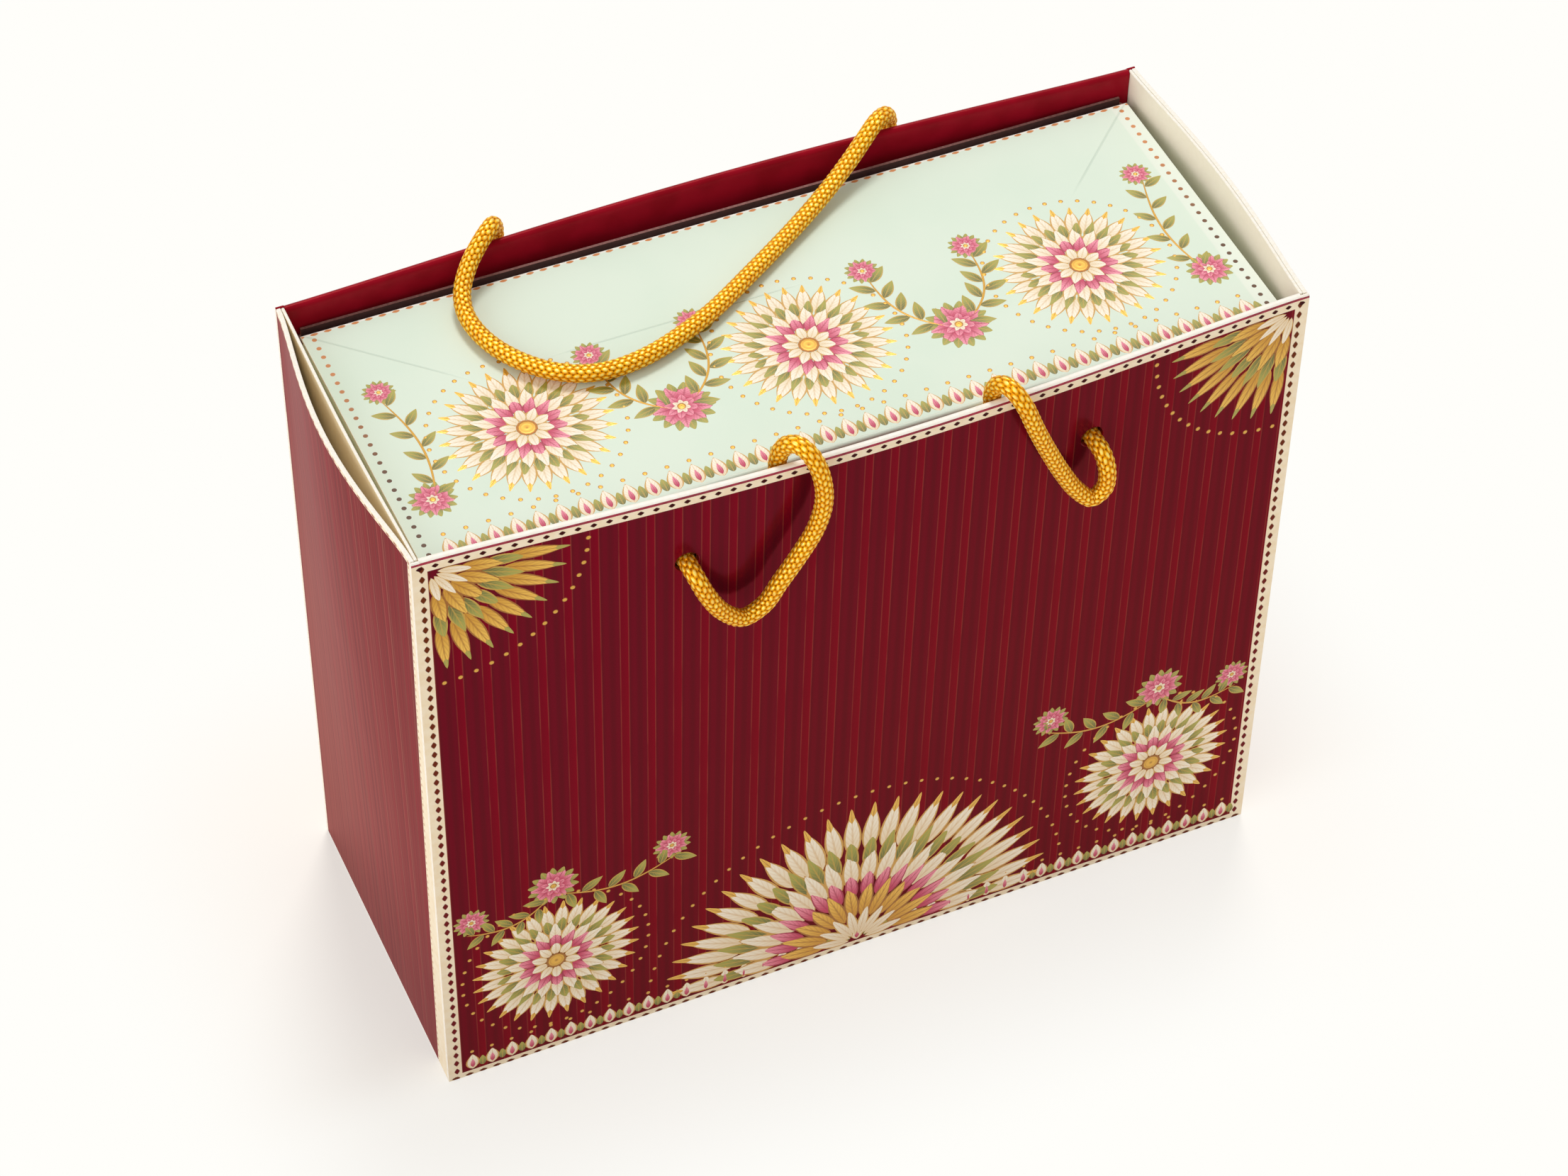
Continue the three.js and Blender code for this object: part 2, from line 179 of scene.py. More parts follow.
REAR_CORD_ROUTE = [
    (-75.0, 62.6, 224.0), (-75.0, 66.0, 224.0), (-75.0, 69.0, 226.6), (-75.0, 69.9, 232.5),
    (-75.0, 69.6, 239.0), (-75.0, 69.2, 246.0), (-75.0, 69.2, 251.8),
    (-75.0, 69.2, 253.4), (-75.6, 68.3, 256.4), (-77.4, 65.8, 258.5), (-82.6, 61.4, 257.7),
    (-89.4, 55.4, 254.2), (-94.4, 48.2, 250.8), (-96.2, 41.0, 249.0), (-95.9, 33.0, 248.5),
    (-93.6, 23.8, 248.5), (-89.2, 15.2, 248.5), (-83.6, 8.2, 248.5), (-77.3, 3.1, 248.5),
    (-70.3, -0.1, 248.5), (-62.6, -1.3, 248.5), (-54.0, -0.6, 248.5), (-45.2, 1.6, 248.5),
    (-34.8, 5.7, 248.5), (-23.4, 11.2, 248.5), (-4.8, 22.9, 248.5), (16.3, 36.8, 248.7),
    (32.3, 47.4, 250.3), (45.6, 56.0, 254.0), (52.2, 60.2, 257.0), (58.0, 64.2, 258.8),
    (62.8, 67.5, 257.6), (65.0, 69.5, 253.6),
    (65.0, 69.5, 251.8), (65.0, 69.5, 246.0), (65.0, 69.8, 239.0), (65.0, 70.1, 232.5),
    (65.0, 69.3, 226.6), (65.0, 66.4, 224.0), (65.0, 62.9, 224.0),
]


# Meshes from grids

def patch(points, finish=0, uv=None, keep=None):
    """One or more grids of points, (..., rows, columns, 3), with the finish and UV of their cells.

    The face of a cell looks along (row direction) x (column direction). keep leaves cells out.
    """
    points = np.asarray(points, float)
    rows, columns = points.shape[-3:-1]
    if uv is None:
        steps = np.meshgrid(np.linspace(0, 1, rows), np.linspace(0, 1, columns), indexing="ij")
        uv = np.stack(steps, axis=-1)
    uv = np.broadcast_to(uv, points.shape[:-1] + (2,))
    if keep is None:
        keep = np.ones((rows - 1, columns - 1), bool)
    return {
        "points": points.reshape(-1, rows, columns, 3),
        "uv": uv.reshape(-1, rows, columns, 2),
        "finish": finish,
        "keep": keep,
    }


def cells_of(grid):
    """The four corners of each cell of (count, rows, columns, ...) grids, in order round the cell."""
    corners = [grid[:, :-1, :-1], grid[:, 1:, :-1], grid[:, 1:, 1:], grid[:, :-1, 1:]]
    return np.stack(corners, axis=3)


def make_mesh(name, patches, finishes, crease=35.0, numbers=None):
    """Joins grids into one mesh object.

    Each cell is a face. Points within WELD of each other become one vertex, and a cell that a pole
    or a seam closes loses that corner. Edges that turn more than crease degrees stay sharp. numbers
    holds values for the points, in the order of the grids, which the mesh carries.
    """
    corners, uvs, marks, start = [], [], [], 0
    for item in patches:
        count, rows, columns = item["points"].shape[:3]
        index = start + np.arange(count * rows * columns).reshape(count, rows, columns)
        kept = np.broadcast_to(item["keep"], (count, rows - 1, columns - 1))
        corners.append(cells_of(index)[kept])
        uvs.append(cells_of(item["uv"])[kept])
        marks.append(np.full(len(corners[-1]), item["finish"]))
        start += index.size
    points = np.concatenate([item["points"].reshape(-1, 3) for item in patches])
    corners, uvs, marks = np.concatenate(corners), np.concatenate(uvs), np.concatenate(marks)

    _, first, same = np.unique(np.round(points / WELD), axis=0, return_index=True, return_inverse=True)
    corners = same.reshape(-1)[corners]
    distinct = corners != np.roll(corners, -1, axis=1)
    whole = distinct.sum(axis=1) >= 3
    corners, uvs, marks, distinct = corners[whole], uvs[whole], marks[whole], distinct[whole]
    used, loops = np.unique(corners[distinct], return_inverse=True)
    sides = distinct.sum(axis=1)

    mesh = bpy.data.meshes.new(name)
    mesh.vertices.add(len(used))
    mesh.vertices.foreach_set("co", metres(points[first[used]]).ravel())
    mesh.loops.add(len(loops))
    mesh.loops.foreach_set("vertex_index", loops.reshape(-1).astype(np.int32))
    mesh.polygons.add(len(sides))
    mesh.polygons.foreach_set("loop_start", np.concatenate([[0], np.cumsum(sides)[:-1]]).astype(np.int32))
    mesh.polygons.foreach_set("material_index", marks.astype(np.int32))
    mesh.uv_layers.new(name="UVMap").data.foreach_set("uv", uvs[distinct].ravel())
    mesh.update(calc_edges=True)
    mesh.validate()
    mesh.shade_smooth()
    mesh.set_sharp_from_angle(angle=math.radians(crease))
    for label, values in (numbers or {}).items():
        mesh.attributes.new(label, "FLOAT", "POINT").data.foreach_set("value", values[first[used]])
    for finish in finishes:
        mesh.materials.append(finish)
    made = bpy.data.objects.new(name, mesh)
    bpy.context.scene.collection.objects.link(made)
    return made


def settle(made, body, slot, *nodes):
    """The piece rides on its body and stands for its solids, which are hidden."""
    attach(made, body)
    if nodes:
        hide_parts(*nodes)


def make_piece(name, patches, finishes, body, slot, *nodes):
    """A mesh from grids, settled on its body."""
    settle(make_mesh(name, patches, finishes), body, slot, *nodes)


def round_the_edge(grid):
    """The outline of a (rows, columns, ...) grid as one closed run, counter-clockwise."""
    return np.concatenate([grid[:, 0], grid[-1, 1:], grid[-2::-1, -1], grid[0, -2::-1]])


def board(shape, length, width, top, bottom, steps=(2, 2), edge=EDGE_ROUND):
    """A cut board with small chamfers: a face at height top, the cut edge, and a face at bottom.

    shape(a, b, h) gives the place of the share a along, the share b across and the height h. Each
    face is a grid whose outline is drawn in by edge, and the cut joins both outlines by way of the
    full outline at edge below the top and edge above the bottom. A step is a count of even lines,
    or the lines themselves. Face, cut and back take the first three finishes of the mesh.
    """
    inset_a, inset_b = edge / length, edge / width
    lines = [np.linspace(0, 1, step) if np.isscalar(step) else step for step in steps]
    a, b = np.meshgrid(*lines, indexing="ij")
    inner_a, inner_b = inset_a + a * (1 - 2 * inset_a), inset_b + b * (1 - 2 * inset_b)
    level = np.ones_like(a)
    upper = shape(inner_a, inner_b, top * level)
    lower = shape(inner_a, inner_b, bottom * level)
    outline = np.stack([
        round_the_edge(upper),
        round_the_edge(shape(a, b, (top - edge) * level)),
        round_the_edge(shape(a, b, (bottom + edge) * level)),
        round_the_edge(lower),
    ])
    return [patch(upper, 0), patch(outline, 1), patch(lower[::-1], 2)]


# The four walls

class Wall:
    """A carrier wall's own axes: s along it as seen from outside, t up, h out of its outer face."""

    def __init__(self, along, out, reach, bow, span):
        self.along = np.array(along, float)
        self.out = np.array(out, float)
        self.reach = reach
        self.bow = bow
        self.span = span

    def bulge(self, s, t):
        """How far the wall stands out: bow x (1 - u squared)^1.5 x (height share)^1.2."""
        crown = np.maximum(0, 1 - (s / (self.span / 2)) ** 2) ** BOW_CROWN_POWER
        rise = np.maximum(0, t / CARRIER_HEIGHT) ** BOW_RISE_POWER
        return self.bow * crown * rise

    def place(self, s, t, h):
        """The point at s, t, h, on the bowed wall."""
        s, t, h = np.broadcast_arrays(s, t, h)
        away = (self.reach + self.bulge(s, t) + h)[..., None]
        return s[..., None] * self.along + away * self.out + t[..., None] * np.array([0, 0, 1.0])


FRONT = Wall((1, 0, 0), (0, -1, 0), CARRIER_REACH, FRONT_BOW, CARRIER_WIDTH)
BACK = Wall((-1, 0, 0), (0, 1, 0), CARRIER_REACH, BACK_BOW, CARRIER_WIDTH)
LEFT = Wall((0, -1, 0), (-1, 0, 0), END_REACH, LEFT_BOW, END_SPAN)
RIGHT = Wall((0, 1, 0), (1, 0, 0), END_REACH, RIGHT_BOW, END_SPAN)
LEFT_LINED = Wall((0, -1, 0), (-1, 0, 0), END_REACH, LINING_BOW, END_SPAN)


# Finishes

def colour(red, green, blue):
    """A colour written in the 0 to 255 of a screen, as linear light."""
    share = np.array([red, green, blue]) / 255
    linear = np.where(share <= 0.04045, share / 12.92, ((share + 0.055) / 1.055) ** 2.4)
    return (*linear.tolist(), 1.0)


class Signal:
    """The output of a node. Arithmetic on it adds Math nodes."""

    # numpy's own numbers leave the arithmetic to this class
    __array_ufunc__ = None

    def __init__(self, nodes, socket):
        self.nodes = nodes
        self.socket = socket

    def __add__(self, other):
        return self.nodes.calc("ADD", self, other)

    def __sub__(self, other):
        return self.nodes.calc("SUBTRACT", self, other)

    def __rsub__(self, other):
        return self.nodes.calc("SUBTRACT", other, self)

    def __mul__(self, other):
        return self.nodes.calc("MULTIPLY", self, other)

    def __truediv__(self, other):
        return self.nodes.calc("DIVIDE", self, other)

    def __pow__(self, other):
        return self.nodes.calc("POWER", self, other)

    def __abs__(self):
        return self.nodes.calc("ABSOLUTE", self)


class Nodes:
    """A node tree, and short calls that add nodes to it."""

    def __init__(self, tree):
        self.tree = tree

    def put(self, socket, value):
        """Links a signal to the socket, or sets the socket to a plain value."""
        if isinstance(value, Signal):
            self.tree.links.new(value.socket, socket)
        else:
            socket.default_value = value

    def add(self, kind, inputs, output=0, **settings):
        """Adds a node with its settings and inputs, and gives one of its outputs."""
        node = self.tree.nodes.new(f"ShaderNode{kind}")
        for label, value in settings.items():
            setattr(node, label, value)
        for socket, value in inputs.items():
            self.put(node.inputs[socket], value)
        return Signal(self, node.outputs[output])

    def calc(self, operation, *values):
        """A Math node."""
        return self.add("Math", dict(enumerate(values)), operation=operation)

    def seen(self):
        """1 for rays from the camera, straight, mirrored or through glass, and 0 for all others."""
        camera, *others = (
            self.add("LightPath", {}, f"Is {ray} Ray") for ray in ("Camera", "Glossy", "Transmission")
        )
        for ray in others:
            camera = self.calc("MAXIMUM", camera, ray)
        return camera


class Finish(Nodes):
    """One procedural material. Its shader's sockets are set by name, with _ for a space."""

    def __init__(self, name, **sockets):
        self.material = bpy.data.materials.new(name)
        self.material.use_nodes = True
        super().__init__(self.material.node_tree)
        self.shader = self.tree.nodes["Principled BSDF"]
        for socket, value in sockets.items():
            self.put(self.shader.inputs[socket.replace("_", " ")], value)

    def split(self, vector):
        """The coordinates of a vector."""
        first = self.add("SeparateXYZ", {0: vector})
        return [Signal(self, socket) for socket in first.socket.node.outputs]

    def place(self):
        """X, Y and Z in millimetres from the middle of the carrier's floor."""
        where = self.add("TexCoord", {}, "Object")
        scale, shift = (1 / MM,) * 3, tuple(-ORIGIN)
        self.vector = self.add("Mapping", {"Vector": where, "Scale": scale, "Location": shift})
        return self.split(self.vector)

    def uv(self):
        """The two parameters of the piece's UV map."""
        return self.split(self.add("TexCoord", {}, "UV"))[:2]

    def attribute(self, name):
        """A number that the mesh carries at its points."""
        return self.add("Attribute", {}, "Fac", attribute_name=name)

    def fade(self, value, low, high):
        """0 below low and 1 above high, smooth between them."""
        inputs = {"Value": value, "From Min": low, "From Max": high}
        return self.add("MapRange", inputs, "Result", interpolation_type="SMOOTHSTEP")

    def tint(self, share, first, second):
        """Mixes two colours."""
        return self.add("Mix", {0: share, 6: first, 7: second}, 2, data_type="RGBA")

    def grain(self, scale, detail=2.0):
        """Noise with a given number of lumps to the millimetre, from 0 to 1."""
        return self.add("TexNoise", {"Vector": self.vector, "Scale": scale, "Detail": detail})

    def streaks(self, along, scale, detail=2.0):
        """One-dimensional noise, for streaks that run across the given coordinate."""
        inputs = {"W": along, "Scale": scale, "Detail": detail}
        return self.add("TexNoise", inputs, noise_dimensions="1D")

    def row(self, along, away, pitch, long, wide, power=1.25):
        """A row of dots: 1 where the distances along and across, each over its half size and to the
        power, add to under 1. A power of 2 makes ovals, a lower one lozenges."""
        lengthwise = self.calc("PINGPONG", along, pitch / 2) / (long / 2)
        across = abs(away) / (wide / 2)
        return 1.0 - self.fade(lengthwise**power + across**power, 0.8, 1.25)

    def relief(self, height, depth):
        """Bump of a given depth in millimetres."""
        bump = self.add("Bump", {"Distance": depth * MM, "Height": height})
        self.put(self.shader.inputs["Normal"], bump)

    def paint(self, value):
        """The shader's colour."""
        self.put(self.shader.inputs["Base Color"], value)
        return self.material


CREAM = colour(247, 234, 208)
CREAM_SHADE = colour(243, 226, 194)
DOT_BROWN = colour(104, 44, 16)
DOT_RED = colour(108, 14, 22)
DOT_DARK = colour(58, 8, 10)
DOT_TAN = colour(206, 160, 126)
DOT_RUST = colour(170, 96, 74)
CRIMSON = colour(123, 6, 32)
CRIMSON_DEEP = colour(114, 8, 31)
MAROON = colour(96, 20, 32)
MAROON_WARM = colour(106, 17, 34)
PRINT_SHEEN = colour(255, 70, 60)
END_CRIMSON = colour(124, 17, 35)
END_MAROON = colour(106, 31, 35)
# Deep tone of the end wall's streaks, also its painted shade at the foot
END_DEEP_AND_FOOT_SHADE = colour(90, 24, 31)
# Dusty rose of the end wall's streaks, also its painted sheen towards the back
DUSTY_ROSE_AND_SHEEN = colour(148, 98, 85)
HAIRLINE = colour(160, 84, 66)
DEEP_MAROON = colour(104, 12, 32)
TURNED_CRIMSON = colour(152, 16, 35)
TURNED_SHADE = colour(138, 13, 29)
# Crimson of the rim folds; on the back wall's fold it is brightened as a painted highlight along the rim
RIM_CRIMSON = colour(168, 22, 58)
PAPER_WHITE = colour(250, 245, 236)
# Beige of the left lining: the cream lining paper, darker and warmer as painted shade of the gap behind the
# left end wall
LINING_BEIGE_GAP_SHADE = colour(255, 234, 190)
LINING_CREAM = colour(252, 243, 224)
MINT = colour(220, 232, 215)
MINT_SHADE = colour(214, 229, 211)
# Darker mint along the lid's creases and seam: painted shade
MINT_CREASE_SHADE = colour(150, 176, 160)
LID_DOT = colour(92, 56, 26)
LID_DASH = colour(206, 132, 74)
BOARD_WHITE = colour(238, 234, 224)
BOARD_GREY = colour(190, 178, 158)
# Deep amber between the cord's stitches: painted shade
YARN_PIT_SHADE = colour(158, 72, 0)
YARN_AMBER = colour(244, 158, 4)
YARN_GOLD = colour(255, 180, 10)
# Pale gold on the stitches' crowns: painted highlight
YARN_PALE_HIGHLIGHT = colour(255, 236, 128)
YARN_SHEEN = colour(255, 228, 150)

# Each border: its width, then its dots' pitch, length and width, and their distance from the edge
SIDE_BORDER, SIDE_DOTS, SIDE_DOT_INSET = 4.9, (4.4, 3.0, 1.9), 3.1
TOP_BORDER, TOP_DOTS, TOP_DOT_INSET = 4.5, (5.0, 2.2, 1.7), 2.8
FOOT_BORDER, FOOT_DOTS, FOOT_DOT_INSET = 2.7, (5.0, 3.0, 1.5), 0.8
END_RIM_BORDER, END_RIM_DOTS, END_RIM_DOT_INSET = 1.8, (4.6, 2.6, 1.0), 1.2
CORNER_STRIP_TOP, CORNER_STRIP_FOOT, CORNER_DOTS, CORNER_DOT_INSET = 1.5, 8.7, (3.3, 1.5, 0.9), 0.7

# Stripes of the long walls
STRIPE_REPEAT = 9.0
STRIPE_WIDTH = 2.8
STRIPE_START = 2.75
STRIPE_WANDER = 0.7
GROUND_WAVE = 3.6

# Lid: its dots' pitch, length, width and power, and their distance in, then its pale strip, pale
# margin and faint lines
LID_DOTS, LID_DOT_INSET = (4.3, 1.6, 1.6, 2.0), 3.6
LID_DASHES, LID_DASH_INSET = (4.6, 2.6, 1.2, 1.6), 1.5
LID_STRIP = 6.5
LID_MARGIN = 1.5
CREASE_SLOPE = 0.95
LEFT_CREASE = 45.0
RIGHT_CREASE = 40.0
LID_SEAM, LID_SEAM_MIDDLE, LID_SEAM_REACH, LID_SEAM_SOLID = 15.2, -34.0, 48.0, 30.0


def striped_paper(finish, s):
    """Crimson stripes on maroon, a fine gold line along both sides of each. A stripe brightens across
    its width, and the ground warms and cools twice between stripes, as a cosine, under faint streaks.
    The stripes' coordinate wanders a little by slow noise."""
    moved = (finish.streaks(s, 0.05, 1.0) - 0.5) * STRIPE_WANDER + (s - STRIPE_START)
    across = finish.calc("FLOORED_MODULO", moved, STRIPE_REPEAT)
    past = across - STRIPE_WIDTH
    wave = finish.calc("COSINE", past * (TURN / GROUND_WAVE))
    maroon = finish.tint(finish.fade(wave, 1.0, -1.0), MAROON, MAROON_WARM)
    streak = finish.fade(finish.streaks(s, 0.8, 3.0), 0.4, 0.8)
    maroon = finish.tint(streak * 0.4, maroon, DEEP_MAROON)
    crimson = finish.tint(finish.fade(across, 0.0, STRIPE_WIDTH), CRIMSON_DEEP, CRIMSON)
    paint = finish.tint(finish.fade(past, -0.15, 0.15), crimson, maroon)
    from_first = finish.calc("PINGPONG", moved, STRIPE_REPEAT / 2)
    from_last = finish.calc("PINGPONG", past, STRIPE_REPEAT / 2)
    hairline = 1.0 - finish.fade(finish.calc("MINIMUM", from_first, from_last), 0.06, 0.3)
    worn = finish.fade(finish.grain(0.05), 0.3, 0.6) * 0.22 + 0.12
    return finish.tint(hairline * worn, paint, HAIRLINE)


def bordered(finish, paint, edges):
    """Cream where any edge's distance is under its width, with rows of lozenge dots. Each edge gives
    the distance, the width, the coordinate along it, the dots, their distance in and their colour."""
    cream = finish.tint(finish.fade(finish.grain(0.35, 3.0), 0.35, 0.7), CREAM, CREAM_SHADE)
    border = 0.0
    for distance, width, along, dots, inset, dot_paint in edges:
        border = finish.calc("MAXIMUM", 1.0 - finish.fade(distance - width, -0.1, 0.1), border)
        cream = finish.tint(finish.row(along, distance - inset, *dots), cream, dot_paint)
    finish.put(finish.shader.inputs["Metallic"], finish.fade(border, 1.0, -1.3))
    finish.relief(finish.grain(0.03, 1.0), 0.25)
    return finish.paint(finish.tint(border, paint, cream))


def long_wall_print(name, side):
    """Glossy striped print of the front or back wall, with a dotted border along all four edges."""
    finish = Finish(name, Roughness=0.16, Specular_IOR_Level=0.08, Specular_Tint=PRINT_SHEEN)
    x, _, t = finish.place()
    s = x * side
    side_dot = finish.tint(finish.fade(t, 60.0, 220.0), DOT_RED, DOT_BROWN)
    edges = [
        (CARRIER_WIDTH / 2 - abs(s), SIDE_BORDER, t, SIDE_DOTS, SIDE_DOT_INSET, side_dot),
        (CARRIER_HEIGHT - t, TOP_BORDER, s, TOP_DOTS, TOP_DOT_INSET, DOT_DARK),
        (t, FOOT_BORDER, s, FOOT_DOTS, FOOT_DOT_INSET, DOT_BROWN),
    ]
    return bordered(finish, striped_paper(finish, s), edges)


def end_wall_print():
    """Print of an end wall: fine uneven streaks of crimson, maroon and dusty rose, with painted sheen
    that pales it towards the back below the rim and painted shade that deepens it at the foot, with a
    thin dashed rim and a cream strip at the front corner that widens to the foot."""
    finish = Finish("end_wall_print", Roughness=0.34, Specular_IOR_Level=0.06, Specular_Tint=PRINT_SHEEN)
    _, y, t = finish.place()
    from_front = y + END_SPAN / 2
    from_top = CARRIER_HEIGHT - t
    strip = from_top / CARRIER_HEIGHT * (CORNER_STRIP_FOOT - CORNER_STRIP_TOP) + CORNER_STRIP_TOP
    paint = finish.tint(finish.fade(finish.streaks(y, 0.22), 0.36, 0.64), END_CRIMSON, END_MAROON)
    # Painted sheen: paler towards the back and below the rim
    pale = finish.fade(from_front, 0.0, 1.2 * END_SPAN) * finish.fade(from_top, 0.0, 130.0)
    thin = finish.fade(finish.streaks(y, 0.9), 0.52, 0.72)
    deep = finish.fade(finish.streaks(y + 300.0, 0.55, 3.0), 0.54, 0.7)
    # Painted shade: darker towards the foot
    foot = finish.fade(t, 80.0, 0.0)
    for share, most, tone in (
        (pale, 0.6, DUSTY_ROSE_AND_SHEEN), (thin, 0.7, DUSTY_ROSE_AND_SHEEN), (deep, 0.75, END_DEEP_AND_FOOT_SHADE), (foot, 0.3, END_DEEP_AND_FOOT_SHADE),
    ):
        paint = finish.tint(share * most, paint, tone)
    edges = [
        (from_front, strip, t, CORNER_DOTS, strip - CORNER_DOT_INSET, DOT_TAN),
        (from_top, END_RIM_BORDER, y, END_RIM_DOTS, END_RIM_DOT_INSET, DOT_RUST),
    ]
    return bordered(finish, paint, edges)


def paper(name, light, shade, roughness, scale=0.5, depth=0.02, **sockets):
    """Plain paper or board: two close tones in soft fibre-like patches, with a faint tooth."""
    finish = Finish(name, Roughness=roughness, **sockets)
    finish.place()
    finish.relief(finish.grain(scale * 4, 3.0), depth)
    return finish.paint(finish.tint(finish.fade(finish.grain(scale, 4.0), 0.35, 0.65), light, shade))


def mint_finish(name):
    """Mint coated board in soft blotches: the finish, its X, Y and Z, its colour and its faint waves."""
    finish = Finish(name, Roughness=0.42, Specular_IOR_Level=0.35)
    place = finish.place()
    paint = finish.tint(finish.fade(finish.grain(0.02, 3.0), 0.35, 0.75), MINT, MINT_SHADE)
    return finish, place, paint, finish.grain(0.03, 1.0)


def mint_paper():
    """Mint board of the carton."""
    finish, _, paint, height = mint_finish("mint_carton_board")
    finish.relief(height, 0.2)
    return finish.paint(paint)


def lid_print():
    """Mint board of the lid: brown-gold dots along three edges, a pale strip at the right and a pale
    margin at the rear, the faint creases that run in from the two rear corners, and a faint seam;
    creases and seam are bumped in and darkened along their lines as painted shade."""
    finish, (x, y, z), paint, height = mint_finish("mint_lid_board")
    from_left, from_right, from_rear = x + LID_HALF, LID_HALF - x, LID_REAR - y
    strip = 1.0 - finish.fade(from_right, LID_STRIP - 0.5, LID_STRIP + 0.5)
    paint = finish.tint(strip * 0.3, paint, PAPER_WHITE)
    on_top = finish.fade(z, LID_TOP[2] - 0.6, LID_TOP[2] - 0.3)
    margin = on_top - finish.fade(from_rear, LID_MARGIN - 0.2, LID_MARGIN + 0.2)
    paint = finish.tint(margin * 0.85, paint, PAPER_WHITE)
    from_side = finish.calc("MINIMUM", from_left, from_right)
    dot_paint = finish.tint(finish.fade(y, -20.0, 40.0), LID_DOT, LID_DASH)
    paint = finish.tint(finish.row(y, from_side - LID_DOT_INSET, *LID_DOTS), paint, dot_paint)
    paint = finish.tint(finish.row(x, from_rear - LID_DASH_INSET, *LID_DASHES), paint, LID_DASH)
    seam = 1.0 - finish.fade(abs(y - LID_SEAM), 0.1, 0.4)
    crease = seam * finish.fade(abs(x - LID_SEAM_MIDDLE), LID_SEAM_REACH, LID_SEAM_SOLID)
    for along, reach in ((from_left, LEFT_CREASE), (from_right, RIGHT_CREASE)):
        line = 1.0 - finish.fade(abs(from_rear - along * CREASE_SLOPE), 0.1, 0.6)
        short = 1.0 - finish.fade(along, reach * 0.7, reach)
        crease = finish.calc("MAXIMUM", crease, line * short)
    finish.relief(height - crease * 0.5, 0.2)
    # Painted shade: darker mint along the creases and the seam, over their bump
    return finish.paint(finish.tint(crease * 0.22, paint, MINT_CREASE_SHADE))


def cord_finish():
    """Gold yarn: gold on the stitches, deep amber between them as painted shade, and pale gold on the
    crowns of the brighter ones as a painted highlight, with fine filaments."""
    finish = Finish(
        "gold_cord_yarn", Roughness=0.28, Metallic=0.45, Specular_IOR_Level=0.3, Specular_Tint=YARN_SHEEN
    )
    crown, fibre, tone = (finish.attribute(label) for label in ("crown", "fibre", "tone"))
    gold = finish.tint(tone, YARN_AMBER, YARN_GOLD)
    # Painted shade: deep amber where the stitches fall away
    paint = finish.tint(finish.fade(crown, 0.25, 0.8), YARN_PIT_SHADE, gold)
    # Painted highlight: pale gold on the crowns, stronger on the brighter stitches
    bright = tone * 0.3 + 0.7
    paint = finish.tint(finish.fade(crown, 0.78, 0.97) * bright, paint, YARN_PALE_HIGHLIGHT)
    finish.relief(finish.calc("SINE", fibre * 14.0), 0.02)
    return finish.paint(paint)


def brass():
    """Brushed brass of the cord clips."""
    finish = Finish("clip_brass", Metallic=1.0, Roughness=0.32)
    brushed = finish.streaks(finish.place()[0], 4.0, 3.0)
    finish.relief(brushed, 0.02)
    return finish.paint(finish.tint(brushed, colour(198, 158, 74), colour(222, 190, 112)))


front_print = long_wall_print("front_wall_print", 1.0)
back_print = long_wall_print("back_wall_print", -1.0)
end_print = end_wall_print()
turned_paper = paper(
    "maroon_turned_paper", TURNED_CRIMSON, TURNED_SHADE, 0.3, 0.08,
    Specular_IOR_Level=0.2, Specular_Tint=PRINT_SHEEN,
)
# The rim folds' crimson: the thin line on the front fold's outer edge, and on the back fold a painted
# highlight along the rim
rim_red = paper("rim_crimson_fold", RIM_CRIMSON, colour(140, 14, 44), 0.35, 0.2)
rim_cream = paper("rim_cream_fold", PAPER_WHITE, colour(248, 240, 226), 0.5)
raw_edge = paper("raw_board_edge", PAPER_WHITE, colour(246, 238, 222), 0.75, 1.0, 0.05)
# Brown top cut edge of the carton's walls: the board's cut edge, darkened as painted shade for the slit
# behind the lid
brown_edge_and_slit_shade = paper("brown_cut_edge_and_slit_shade", colour(142, 99, 92), colour(120, 80, 74), 0.8, 1.0, 0.05)
inner_board = paper("inner_white_board", BOARD_WHITE, CREAM, 0.7)
# The left lining's beige is painted shade of the gap behind the left end wall; the right lining is cream
lining_gap_shade = paper("lining_paper_gap_shade", LINING_BEIGE_GAP_SHADE, colour(253, 229, 184), 0.6)
cream_lining = paper("cream_lining_paper", LINING_CREAM, colour(250, 241, 221), 0.6)
grey_board = paper("grey_base_board", BOARD_GREY, colour(170, 156, 134), 0.85, 0.4, 0.05)
# Dark inside of the carton: darkened as painted shade, so the slit behind the lid reads dark
carton_inside_and_slit_shade = paper("inside_board_and_slit_shade", colour(70, 36, 33), colour(62, 31, 28), 0.8)
mint_board = mint_paper()
lid_board = lid_print()
gold_yarn = cord_finish()
clip_brass = brass()


# Cords

